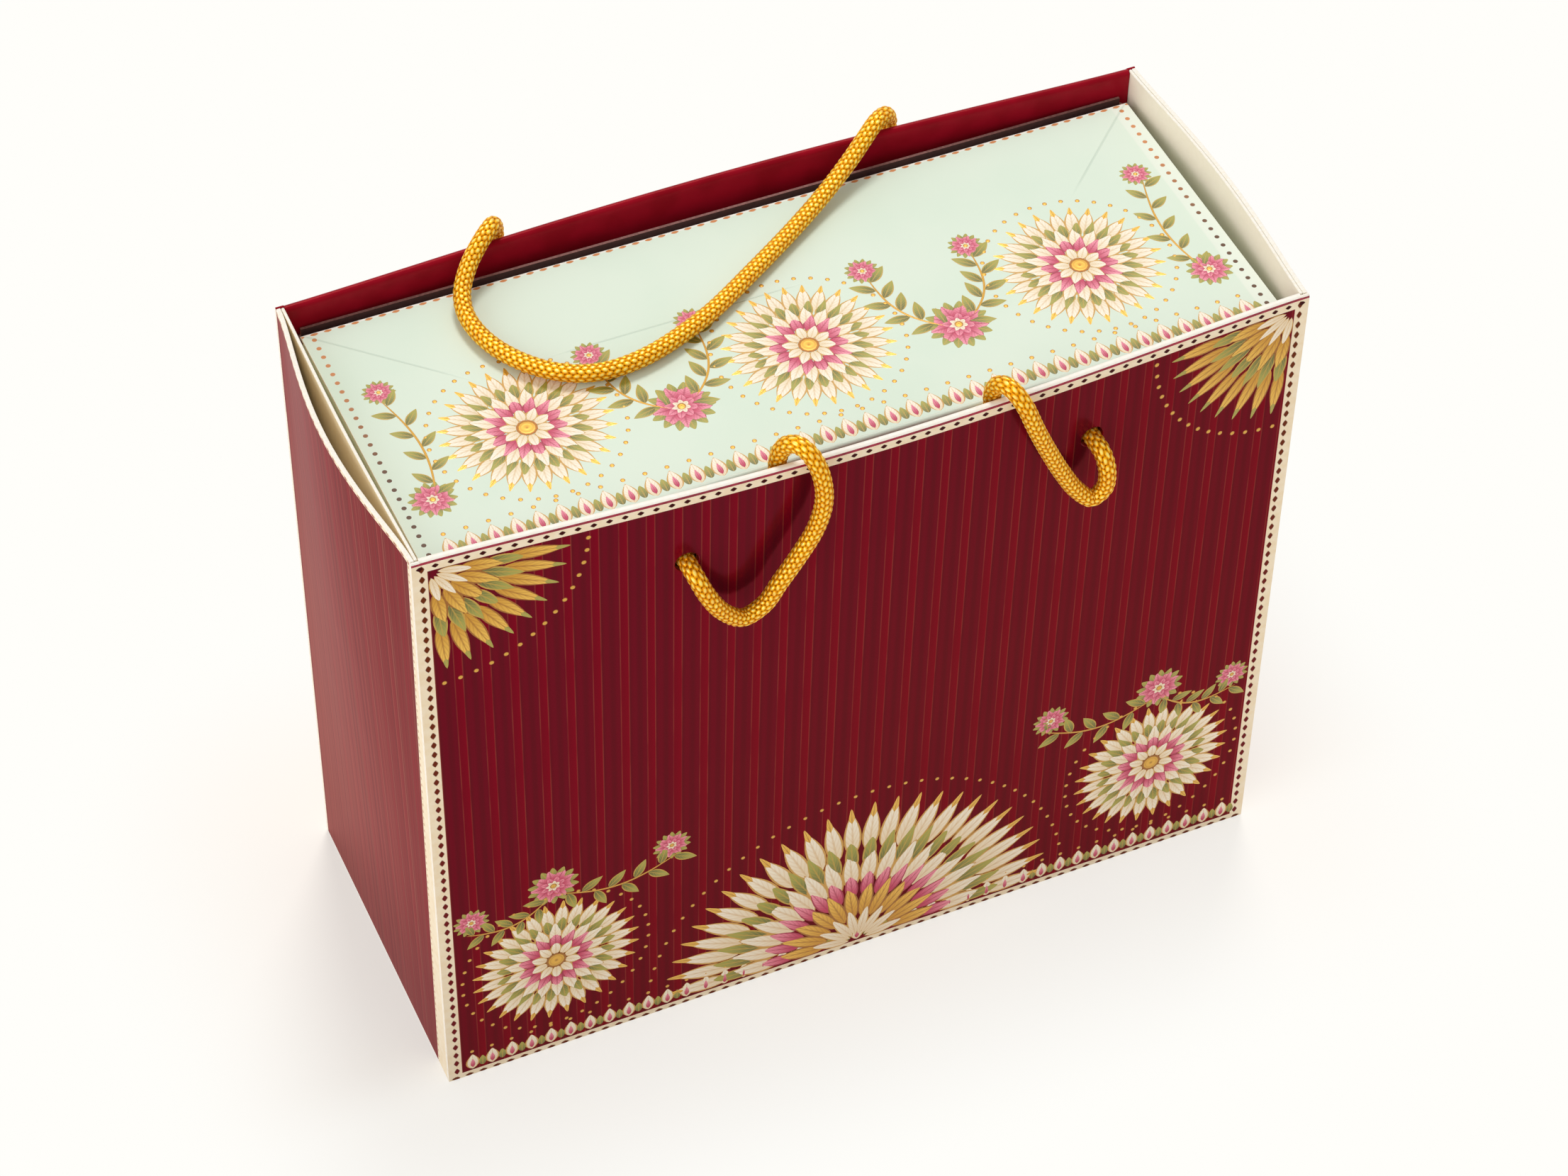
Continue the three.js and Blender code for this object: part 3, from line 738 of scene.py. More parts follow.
def smooth_route(points, step):
    """Points about step apart on the smooth curve through a cord's chosen points.

    Each stretch between two points is a cubic whose end slopes come from the points next to it,
    spaced by the square root of their distance, and the whole is then cut into equal lengths.
    """
    points = np.array(points, float)
    ends = np.vstack([2 * points[0] - points[1], points, 2 * points[-1] - points[-2]])
    p0, p1, p2, p3 = ends[:-3], ends[1:-2], ends[2:-1], ends[3:]
    gap = np.sqrt(np.linalg.norm(np.diff(ends, axis=0), axis=1))[:, None]
    d0, d1, d2 = gap[:-2], gap[1:-1], gap[2:]
    slope1 = d1 * ((p1 - p0) / d0 - (p2 - p0) / (d0 + d1) + (p2 - p1) / d1)
    slope2 = d1 * ((p2 - p1) / d1 - (p3 - p1) / (d1 + d2) + (p3 - p2) / d2)
    u = np.linspace(0, 1, 60, endpoint=False)[None, :, None]
    run = (
        (2 * u**3 - 3 * u**2 + 1) * p1[:, None]
        + (u**3 - 2 * u**2 + u) * slope1[:, None]
        + (3 * u**2 - 2 * u**3) * p2[:, None]
        + (u**3 - u**2) * slope2[:, None]
    ).reshape(-1, 3)
    run = np.vstack([run, points[-1:]])
    along = np.concatenate([[0], np.cumsum(np.linalg.norm(np.diff(run, axis=0), axis=1))])
    even = np.linspace(0, along[-1], int(along[-1] / step) + 1)
    return np.stack([np.interp(even, along, run[:, axis]) for axis in range(3)], axis=1), even


def cord_frames(line):
    """Two directions square to a cord at each ring, carried along it with the least twist."""
    tangent = np.gradient(line, axis=0)
    tangent /= np.linalg.norm(tangent, axis=1)[:, None]
    side = np.cross(tangent[0], (0.3, 0.2, 1.0))
    sides = np.empty_like(line)
    for ring, direction in enumerate(tangent):
        side = side - direction * (side @ direction)
        side = side / np.linalg.norm(side)
        sides[ring] = side
    return sides, np.cross(tangent, sides)


def stitches(turn, along):
    """Height of the braid's stitches, 0 to 1, the place across the stitch, -1 to 1, and its tone.

    Stitches are oval lumps in columns round the cord, each column half a stitch on from the next.
    A lump is the square root of 1 - (across / half width) squared - (along / half length) squared,
    leaning one way in even columns and the other in odd ones, and the highest lump shows. The tone,
    0 to 1, is scattered over the stitches: the fraction of a large sine of column and row.
    """
    step = TURN / STITCH_COLUMNS
    radius = CORD_DIAMETER / 2
    half_width, half_length = 0.64 * step * radius, 0.58 * STITCH_LENGTH
    crown = np.zeros(np.broadcast_shapes(turn.shape, along.shape))
    fibre, tone = np.zeros_like(crown), np.zeros_like(crown)
    for shift in (-1, 0, 1):
        column = np.round(turn / step) + shift
        odd = column % 2
        phase = along - odd * STITCH_LENGTH / 2
        row = np.round(phase / STITCH_LENGTH)
        lengthwise = phase - STITCH_LENGTH * row
        across = (turn - column * step) * radius - STITCH_LEAN * (1 - 2 * odd) * lengthwise
        lump = np.sqrt(np.maximum(0, 1 - (across / half_width) ** 2 - (lengthwise / half_length) ** 2))
        wave = np.sin(SCATTER_COLUMN * (column % STITCH_COLUMNS) + SCATTER_ROW * row)
        scatter = SCATTER * wave % 1
        fibre = np.where(lump > crown, across / half_width, fibre)
        tone = np.where(lump > crown, scatter, tone)
        crown = np.maximum(crown, lump)
    return crown, fibre, tone


def braided_cord(name, route, sides=60, ring_step=0.3, core=0.8):
    """A braided cord: rings along the route, whose radius is the core's plus the stitches' height.

    Each end is closed by a flat disc.
    """
    line, along = smooth_route(route, ring_step)
    across, upright = cord_frames(line)
    turn = np.linspace(0, TURN, sides + 1)
    crown, fibre, tone = stitches(turn[None, :], along[:, None])
    radius = CORD_DIAMETER / 2 * (core + (1 - core) * crown)
    around = np.cos(turn)[None, :, None] * across[:, None] + np.sin(turn)[None, :, None] * upright[:, None]
    surface = line[:, None] + radius[..., None] * around
    start = np.stack([np.broadcast_to(line[0], surface[0].shape), surface[0]])
    end = np.stack([surface[-1], np.broadcast_to(line[-1], surface[-1].shape)])
    patches = [patch(surface), patch(start), patch(end)]
    ends = np.zeros(start[..., 0].size + end[..., 0].size)
    carried = {"crown": crown, "fibre": fibre, "tone": tone}
    numbers = {
        label: np.concatenate([values.ravel(), ends]).astype(np.float32)
        for label, values in carried.items()
    }
    return make_mesh(name, patches, [gold_yarn], 80.0, numbers), line


def declare_cord(line):
    """Works out every third point of a cord's path, and its last, in metres; nothing keeps them."""
    path = metres(line)
    path[:-1:3].tolist() + path[-1:].tolist()


front_cord, front_line = braided_cord("front_handle_rope", FRONT_CORD_ROUTE)
settle(front_cord, "carrier", "gold_cord", "front_handle_cord")
declare_cord(front_line)

# The rear cord bends over the back rim; two points there, at the rim and above the lid, are worked out in
# metres and not used
SWING_START = np.array([0.0, 69.2, 252.0])
SWING_END = np.array([0.0, 61.0, 260.2])
rear_cord, rear_line = braided_cord("rear_handle_rope", REAR_CORD_ROUTE)
tuple(metres(SWING_START))
tuple(metres(SWING_END))
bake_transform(rear_cord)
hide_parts("rear_cord_left_end", "rear_handle_loop", "rear_cord_right_end")
declare_cord(rear_line)


# Carrier

# Finishes of a long wall, by their number in its list
WALL_PRINT, WALL_HEM, WALL_INSIDE, WALL_EDGE, RIM_RED, RIM_CREAM = range(6)


def window_lines(places):
    """Grid lines through a window round each place."""
    offsets = np.linspace(-HOLE_WINDOW, HOLE_WINDOW, HOLE_CELLS + 1)
    return np.concatenate([place + offsets for place in places])


def spread_lines(low, high, fixed, spacing):
    """Sorted lines from low to high that hold all the fixed ones, with no gap over the spacing."""
    marks = np.unique(np.concatenate([[low, high], fixed]))
    runs = [
        np.linspace(start, stop, max(2, math.ceil((stop - start) / spacing) + 1))[:-1]
        for start, stop in zip(marks[:-1], marks[1:])
    ]
    return np.concatenate([*runs, [high]])


def in_windows(lines, places):
    """Whether each step between lines lies in a window round one of the places."""
    middle = (lines[:-1] + lines[1:]) / 2
    return np.any(np.abs(middle[:, None] - np.array(places)) < HOLE_WINDOW, axis=1)


def handle_hole(wall, place):
    """A punched hole: from the square window on the outer face in to the round lip, through the
    board, and out to the window on the inner face."""
    side = np.linspace(-HOLE_WINDOW, HOLE_WINDOW, HOLE_CELLS + 1)
    square = round_the_edge(np.stack(np.meshgrid(side, side, indexing="ij"), axis=-1))
    circle = square / np.linalg.norm(square, axis=1)[:, None] * HOLE_RADIUS
    lip = 1 + EDGE_ROUND / HOLE_RADIUS
    inner = -RIM_THICKNESS
    rings = [
        (square, 0.0), ((square + circle) / 2, 0.0), (circle * lip, 0.0),
        (circle, -EDGE_ROUND), (circle, inner + EDGE_ROUND),
        (circle * lip, inner), ((square + circle) / 2, inner), (square, inner),
    ]
    grid = np.stack([wall.place(place + ring[:, 0], HOLE_HEIGHT + ring[:, 1], h) for ring, h in rings])
    return [
        patch(grid[2::-1], WALL_PRINT),
        # The cut through the board takes the maroon hem paper, not the pale cut edge: painted shade inside
        # the hole
        patch(grid[5:1:-1], WALL_HEM),
        patch(grid[7:4:-1], WALL_HEM),
    ]


def folded_wall(wall, rim_finishes):
    """A long wall: up the outer face, over a round fold at the rim, down the hem and the inner face.

    The section is carried along s and pushed out by the wall's bow. The fold is half an ellipse over
    the rim's thickness, fuller on the inside by a bulb that dies away below it. The hem stops short
    of the end walls, where the section thins to one board. rim_finishes gives the finish of each of
    the fold's facets from the outside in.
    """
    facets = len(rim_finishes)
    fold_height = RIM_THICKNESS / 2
    rim = CARRIER_HEIGHT - fold_height
    fixed = np.concatenate([window_lines([HOLE_HEIGHT]), [HEM_FOOT], rim - np.arange(1.0, 9.0)])
    rises = spread_lines(EDGE_ROUND, rim, fixed, WALL_CELL_HEIGHT)
    step = int(np.searchsorted(rises, HEM_FOOT - TOUCH))
    rises = np.insert(rises, step, HEM_FOOT)
    fixed = np.append(window_lines(HOLE_PLACES), [-HEM_HALF, HEM_HALF])
    lines = spread_lines(-CARRIER_WIDTH / 2, CARRIER_WIDTH / 2, fixed, WALL_CELL_LENGTH)
    first, last = (int(np.searchsorted(lines, end - TOUCH)) for end in (-HEM_HALF, HEM_HALF))
    lines = np.insert(lines, [first, last + 1], [-HEM_HALF, HEM_HALF])
    hemmed = np.zeros(len(lines), bool)
    hemmed[first + 1:last + 2] = True
    thick = np.where(hemmed, RIM_THICKNESS, WALL_BOARD)
    bulb = RIM_BULB * hemmed

    swing = np.linspace(0, math.pi, facets + 1)[1:-1]
    outer_h = np.zeros((len(lines), len(rises) + 1))
    outer_h[:, 0] = -EDGE_ROUND
    fold_h = -(thick + bulb)[:, None] / 2 * (1 - np.cos(swing))
    fuller = bulb[:, None] * np.exp(-(((rim - rises) / RIM_BULB_DEPTH) ** 2))
    above = np.arange(len(rises)) > step
    inner_h = np.where(above, -thick[:, None] - fuller, -WALL_BOARD)
    foot_h = np.full((len(lines), 1), EDGE_ROUND - WALL_BOARD)
    t = np.concatenate([[0.0], rises, rim + fold_height * np.sin(swing), rises[::-1], [0.0, 0.0]])
    h = np.concatenate([outer_h, fold_h, inner_h[:, ::-1], foot_h, outer_h[:, :1]], axis=1)
    grid = wall.place(lines[:, None], t[None, :], h)

    first_fold = len(rises)
    last_fold = first_fold + facets
    hem_stop = last_fold + len(rises) - step - 1
    stops = [0, *range(first_fold, last_fold + 1), hem_stop, len(t) - 1]
    strips = [WALL_PRINT, *rim_finishes, WALL_HEM, WALL_INSIDE]
    keep = ~(in_windows(lines, HOLE_PLACES)[:, None] & in_windows(t, [HOLE_HEIGHT]))
    patches = [
        patch(grid[:, start:stop + 1], finish, keep=keep[:, start:stop])
        for start, stop, finish in zip(stops[:-1], stops[1:], strips)
    ]
    half = (grid.shape[1] - 1) // 2
    outer_half, inner_half = grid[:, :half + 1], grid[:, -2:-half - 3:-1]
    for row, order in ((0, 1), (-1, -1)):
        pair = np.stack([outer_half[row], inner_half[row]][::order], axis=1)
        patches.append(patch(pair, WALL_EDGE))
    for place in HOLE_PLACES:
        patches += handle_hole(wall, place)
    return patches


make_piece(
    "front_wall",
    folded_wall(FRONT, [RIM_RED] * 2 + [RIM_CREAM] * 8),
    [front_print, turned_paper, inner_board, raw_edge, rim_red, rim_cream],
    "carrier", "printed_board", "front_panel", "front_rim_hem",
)
make_piece(
    "back_wall",
    # The back fold's crimson facets carry the painted highlight along the rim
    folded_wall(BACK, [RIM_RED] * 4 + [WALL_HEM] * 6),
    [back_print, turned_paper, inner_board, raw_edge, rim_red],
    "carrier", "printed_board", "back_panel", "back_rim_hem",
)


def end_board(wall, half, low, outer, thickness):
    """An end wall or its lining: a board carried along the wall's bow from its floor to the rim."""
    def shape(a, b, h):
        return wall.place((2 * a - 1) * half, low + b * (CARRIER_HEIGHT - low), h)
    steps = (END_LINES, END_LINES)
    return board(shape, 2 * half, CARRIER_HEIGHT - low, outer, outer - thickness, steps)


for word, wall in (("left", LEFT), ("right", RIGHT)):
    make_piece(
        f"{word}_end_wall",
        end_board(wall, END_SPAN / 2 + END_LAP, 0.0, 0.0, WALL_BOARD),
        [end_print, raw_edge, inner_board],
        "carrier", "printed_board", f"{word}_side_panel",
    )
# The left lining's beige is painted shade of the gap behind the left end wall
for word, wall, face, back in (
    ("left", LEFT_LINED, lining_gap_shade, lining_gap_shade), ("right", RIGHT, inner_board, cream_lining),
):
    make_piece(
        f"{word}_lining",
        end_board(wall, END_SPAN / 2, LINING_FLOOR, LINING_FACE, LINING_BOARD),
        [face, raw_edge, back],
        "carrier", "lining_paper", f"{word}_side_lining",
    )


def level_board(node):
    """A flat board lying where its solid does: a runs along X, b along Y, h is the height."""
    low, high = node_box(node)
    size = high - low

    def shape(a, b, h):
        return np.stack([low[0] + a * size[0], low[1] + b * size[1], h], axis=-1)

    return board(shape, size[0], size[1], high[2], low[2])


make_piece(
    "carrier_floor", level_board("base_panel"), [inner_board, raw_edge, turned_paper],
    "carrier", "base_board", "base_panel",
)
make_piece("floor_card", level_board("base_card"), [grey_board] * 3, "carrier", "base_board", "base_card")


def cord_clip(wall, place):
    """A flat brass clip with round corners: rings of one outline, in from the edge on both faces."""
    corner = np.linspace(0, TURN / 4, CORNER_STEPS)
    turns = np.concatenate([corner + quarter * TURN / 4 for quarter in range(4)] + [[TURN]])
    signs = np.array([(1, 1), (-1, 1), (-1, -1), (1, -1)]).repeat(CORNER_STEPS, axis=0)
    signs = np.vstack([signs, signs[:1]])
    middle = signs * (CLIP_LENGTH / 2 - CLIP_CORNER, CLIP_WIDTH / 2 - CLIP_CORNER)
    outline = middle + CLIP_CORNER * np.stack([np.cos(turns), np.sin(turns)], axis=-1)
    rings = [
        (0, CLIP_OUTER), (0.94, CLIP_OUTER), (1, CLIP_OUTER - 0.3), (1, CLIP_INNER + 0.5),
        (0.97, CLIP_INNER + 0.2), (0.88, CLIP_INNER), (0.6, CLIP_INNER + 0.35), (0, CLIP_INNER + 0.35),
    ]
    s, t = outline.T
    grid = np.stack([wall.place(place + ring * s, HOLE_HEIGHT + ring * t, h) for ring, h in rings])
    return [patch(grid)]


for node, wall, place in (
    ("front_left_cord_clip", FRONT, HOLE_PLACES[0]),
    ("front_right_cord_clip", FRONT, HOLE_PLACES[1]),
    ("rear_right_cord_clip", BACK, HOLE_PLACES[0]),
    ("rear_left_cord_clip", BACK, HOLE_PLACES[1]),
):
    make_piece(f"{node}_brass", cord_clip(wall, place), [clip_brass], "carrier", "clip_metal", node)


# Carton

def fold_skin(place, low, high):
    """The outside of a crease: a quarter ring of board skin, p out and q up, carried along r.

    place(p, q, r) gives the point, with r from low to high.
    """
    swing = np.linspace(0, TURN / 4, FOLD_STEPS)
    arc = np.stack([np.cos(swing), np.sin(swing)], axis=-1)
    section = np.concatenate([arc * FOLD, arc[::-1] * (FOLD - CREASE_SKIN), arc[:1] * FOLD])
    grid = place(*np.broadcast_arrays(section[None, :, 0], section[None, :, 1], [[low], [high]]))
    outer, inner = grid[:, :FOLD_STEPS], grid[:, 2 * FOLD_STEPS - 1:FOLD_STEPS - 1:-1]
    return [
        patch(grid),
        patch(np.stack([outer[0], inner[0]], axis=1)),
        patch(np.stack([inner[1], outer[1]], axis=1)),
    ]


def front_fold(height, up):
    """Places a crease on the carton's front wall, at its top (up = 1) or its foot (up = -1)."""
    def place(p, q, r):
        return np.stack([up * r, LID_LOW[1] + FOLD - p, height + up * q], axis=-1)
    return place


def end_fold(side, height, up):
    """Places a crease on an end wall: side is -1 for the left one, 1 for the right."""
    def place(p, q, r):
        return np.stack([side * (LID_HALF - FOLD + p), side * up * r, height + up * q], axis=-1)
    return place


def carton_sleeve():
    """The carton's four walls as one board folded round its corners.

    An outer and an inner outline, straight sides joined by quarter rounds, each carried from the
    wall's foot to its top. The heights step where the front and back walls meet the end walls.
    """
    half = LID_HALF - CARTON_CORNER
    front, back = CARTON_FRONT_LOW[1] + CARTON_CORNER, CARTON_BACK_HIGH[1] - CARTON_CORNER
    middles = [(half, front), (half, back), (-half, back), (-half, front)]
    end_heights = (CARTON_END_LOW[2], CARTON_END_HIGH[2])
    long_heights = {
        1: (CARTON_BACK_LOW[2], CARTON_BACK_HIGH[2]),
        3: (CARTON_FRONT_LOW[2], CARTON_FRONT_HIGH[2]),
    }
    quarter = np.linspace(0, TURN / 4, CORNER_STEPS)
    centres, directions, heights = [], [], []
    for number, centre in enumerate(middles):
        turn = (number - 1) * TURN / 4 + quarter
        centres.append(np.repeat([centre], CORNER_STEPS, axis=0))
        directions.append(np.stack([np.cos(turn), np.sin(turn)], axis=-1))
        heights.append(np.repeat([end_heights], CORNER_STEPS, axis=0))
        if number in long_heights:
            centres.append(np.array([centre, middles[(number + 1) % 4]]))
            directions.append(np.repeat(directions[-1][-1:], 2, axis=0))
            heights.append(np.repeat([long_heights[number]], 2, axis=0))
    centres, directions, heights = (np.concatenate(run + run[:1]) for run in (centres, directions, heights))
    outer = centres + CARTON_CORNER * directions
    inner = centres + (CARTON_CORNER - CARTON_BOARD) * directions
    low, high = heights[:, :1], heights[:, 1:]
    corners = [(outer, low), (outer, high), (inner, high), (inner, low), (outer, low)]
    grid = np.stack([np.concatenate(pair, axis=1) for pair in corners], axis=1)
    faces = np.linalg.norm(np.diff(outer, axis=0), axis=1)[:, None] > TOUCH
    patches = [
        patch(grid[:, 0:2], 0, keep=faces),
        # The top cut edge is brown, darker than the other cut edges as painted shade for the slit behind
        # the lid
        patch(grid[:, 1:3], 3),
        patch(grid[:, 2:4], 2, keep=faces),
        patch(grid[:, 3:5], 1),
    ]
    patches += fold_skin(front_fold(CARTON_FRONT_LOW[2], -1), -LID_HALF, LID_HALF)
    patches += fold_skin(end_fold(-1, CARTON_END_LOW[2], -1), FLAP_LOW[1], FLAP_HIGH[1])
    patches += fold_skin(end_fold(1, CARTON_END_LOW[2], -1), -FLAP_HIGH[1], -FLAP_LOW[1])
    return patches


def closing_sheet(face, inwards):
    """A closing panel and its tuck flap as one folded sheet.

    The sheet runs back from the front crease, round a quarter fold at the rear and on along the
    tuck flap. Its half width drops where the flap starts and follows a circle at the flap's free
    corners. inwards is -1 for the lid, whose flap points down, and 1 for the carton's floor.
    """
    run = LID_REAR - LID_LOW[1] - 2 * FOLD
    bend = FOLD * TURN / 4
    depth = TUCK_HIGH[2] - TUCK_LOW[2]
    total = run + bend + depth
    corner = depth - TUCK_CORNER * np.cos(np.linspace(0, TURN / 4, FOLD_STEPS))
    marks = np.concatenate([
        np.linspace(0, run, SHEET_ROWS),
        run + np.linspace(0, bend, 8)[1:],
        run + bend + np.concatenate([[0.05, 3.0], corner]),
    ])

    def shape(a, b, h):
        d = b * total
        swing = np.clip((d - run) / FOLD, 0, TURN / 4)
        tail = np.maximum(0, d - run - bend)
        y = LID_LOW[1] + FOLD + np.minimum(d, run) + (FOLD + h) * np.sin(swing)
        rise = FOLD - (FOLD + h) * np.cos(swing) + tail
        near_tip = np.clip(d - (total - TUCK_CORNER), 0, TUCK_CORNER)
        tuck = TUCK_HIGH[0] - TUCK_CORNER + np.sqrt(TUCK_CORNER**2 - near_tip**2)
        half = np.where(tail > 0.02, tuck, LID_HALF)
        return np.stack([-inwards * (2 * a - 1) * half, y, face + inwards * rise], axis=-1)

    steps = (SHEET_LINES, marks / total)
    return board(shape, 2 * LID_HALF, total, 0.0, -CARTON_BOARD, steps, CARTON_EDGE_ROUND)


def end_flap(side, low, high):
    """A flap creased to an end wall: its front edge slants in at 45 degrees, its rear corner is round."""
    length = FLAP_HIGH[0] - FLAP_LOW[0]
    width = FLAP_HIGH[1] - FLAP_LOW[1]
    corner = FLAP_CORNER / length

    def shape(a, b, h):
        along = FOLD + a * (length - FOLD)
        near_tip = np.clip(along - (length - FLAP_CORNER), 0, FLAP_CORNER)
        first = FLAP_LOW[1] + along
        last = FLAP_HIGH[1] - FLAP_CORNER + np.sqrt(FLAP_CORNER**2 - near_tip**2)
        share = b if side < 0 else 1 - b
        return np.stack([side * (LID_HALF - along), first + share * (last - first), h], axis=-1)

    steps = np.concatenate([
        np.linspace(0, 1 - corner, FLAP_LINES)[:-1],
        1 - corner * np.cos(np.linspace(0, TURN / 4, FOLD_STEPS)),
    ])
    return board(shape, length, width, high, low, (steps, FLAP_LINES), CARTON_EDGE_ROUND)


def glue_tab(node):
    """The strip glued behind the back wall, inside the rear right corner."""
    low, high = node_box(node)
    size = high - low

    def shape(a, b, h):
        return np.stack([low[0] + a * size[0], -h, low[2] + b * size[2]], axis=-1)

    return board(shape, size[0], size[2], -low[1], -high[1], edge=CARTON_EDGE_ROUND)


MINT_OUT = [mint_board, raw_edge, carton_inside_and_slit_shade]
MINT_BEHIND = [carton_inside_and_slit_shade, raw_edge, mint_board]
make_piece(
    "carton_sleeve", carton_sleeve(), [*MINT_OUT, brown_edge_and_slit_shade], "carton", "mint_board",
    "carton_front_wall", "carton_back_wall", "carton_left_wall", "carton_right_wall",
)
make_piece(
    "glued_corner_tab", glue_tab("carton_glue_tab"), MINT_BEHIND, "carton", "mint_board", "carton_glue_tab"
)
make_piece(
    "carton_floor", closing_sheet(CARTON_BACK_LOW[2], 1), MINT_OUT, "carton", "mint_board",
    "carton_base_panel", "carton_base_tuck_flap",
)
for side, word in ((-1, "left"), (1, "right")):
    make_piece(
        f"carton_floor_{word}_flap", end_flap(side, FLOOR_FLAP_LOW[2], FLOOR_FLAP_HIGH[2]), MINT_BEHIND,
        "carton", "mint_board", f"carton_base_{word}_flap",
    )
    make_piece(
        f"{word}_dust_flap_board", end_flap(side, FLAP_LOW[2], FLAP_HIGH[2]), MINT_OUT,
        f"{word}_flap", "mint_board", f"{word}_dust_flap",
    )
make_piece(
    "lid_and_tuck", closing_sheet(LID_TOP[2], -1), [lid_board, raw_edge, carton_inside_and_slit_shade],
    "lid", "mint_board", "lid_panel", "lid_tuck_flap",
)


def creased(name, place, low, high):
    """A crease's skin as one mesh, in place in the frame; the points at its foot and its top are worked out
    and not used.
    """
    made = make_mesh(name, fold_skin(place, low, high), [mint_board])
    start, end = metres(place(np.array([FOLD, 0.0]), np.array([0.0, FOLD]), np.zeros(2)))
    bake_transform(made)


creased("lid_crease", front_fold(CARTON_FRONT_HIGH[2], 1), -LID_HALF, LID_HALF)
END_TOP = CARTON_END_HIGH[2]
creased("left_flap_crease", end_fold(-1, END_TOP, 1), -FLAP_HIGH[1], -FLAP_LOW[1])
creased("right_flap_crease", end_fold(1, END_TOP, 1), FLAP_LOW[1], FLAP_HIGH[1])


# Raised print: a generic design of rosettes, leaves and lace

PRINT_SINK = 0.02
PRINT_LAYER = 0.018
PRINT_DOME = 0.06
HEART = 0.12
STEM = 0.8
CREAM_INK, GOLD_INK, OLIVE_INK, PINK_INK = range(4)


def ink(name, base, tip, outline, metallic, roughness, hatch):
    """Ink of a petal, leaf or dot: base colour to tip colour, hatched along it, with a middle vein
    and an outline. UV runs along the piece and across it."""
    finish = Finish(name, Metallic=metallic, Roughness=roughness)
    u, v = finish.uv()
    across = abs(v - 0.5) * 2.0
    paint = finish.tint(finish.fade(u, 0.1, 0.85), base, tip)
    veins = finish.calc("SINE", (u - across * 0.3) * 44.0)
    paint = finish.tint(finish.fade(veins, 0.2, 0.9) * hatch, paint, outline)
    vein = 1.0 - finish.fade(across, 0.06, 0.16)
    paint = finish.tint(vein * min(1.0, 2 * hatch), paint, outline)
    rim = finish.calc("MAXIMUM", finish.fade(across, 0.7, 0.82), finish.fade(u, 0.92, 0.97))
    finish.relief(veins, 0.01)
    return finish.paint(finish.tint(rim, paint, outline))


PRINT_INKS = [
    ink("cream_ink", colour(240, 220, 186), colour(252, 243, 224), colour(206, 156, 70), 0.0, 0.45, 0.18),
    ink("gold_foil_ink", colour(206, 148, 36), colour(238, 190, 80), colour(158, 98, 22), 0.35, 0.34, 0.3),
    ink("olive_ink", colour(96, 98, 34), colour(164, 164, 72), colour(196, 160, 64), 0.0, 0.45, 0.35),
    ink("pink_ink", colour(196, 34, 84), colour(246, 150, 170), colour(168, 28, 66), 0.0, 0.42, 0.3),
]


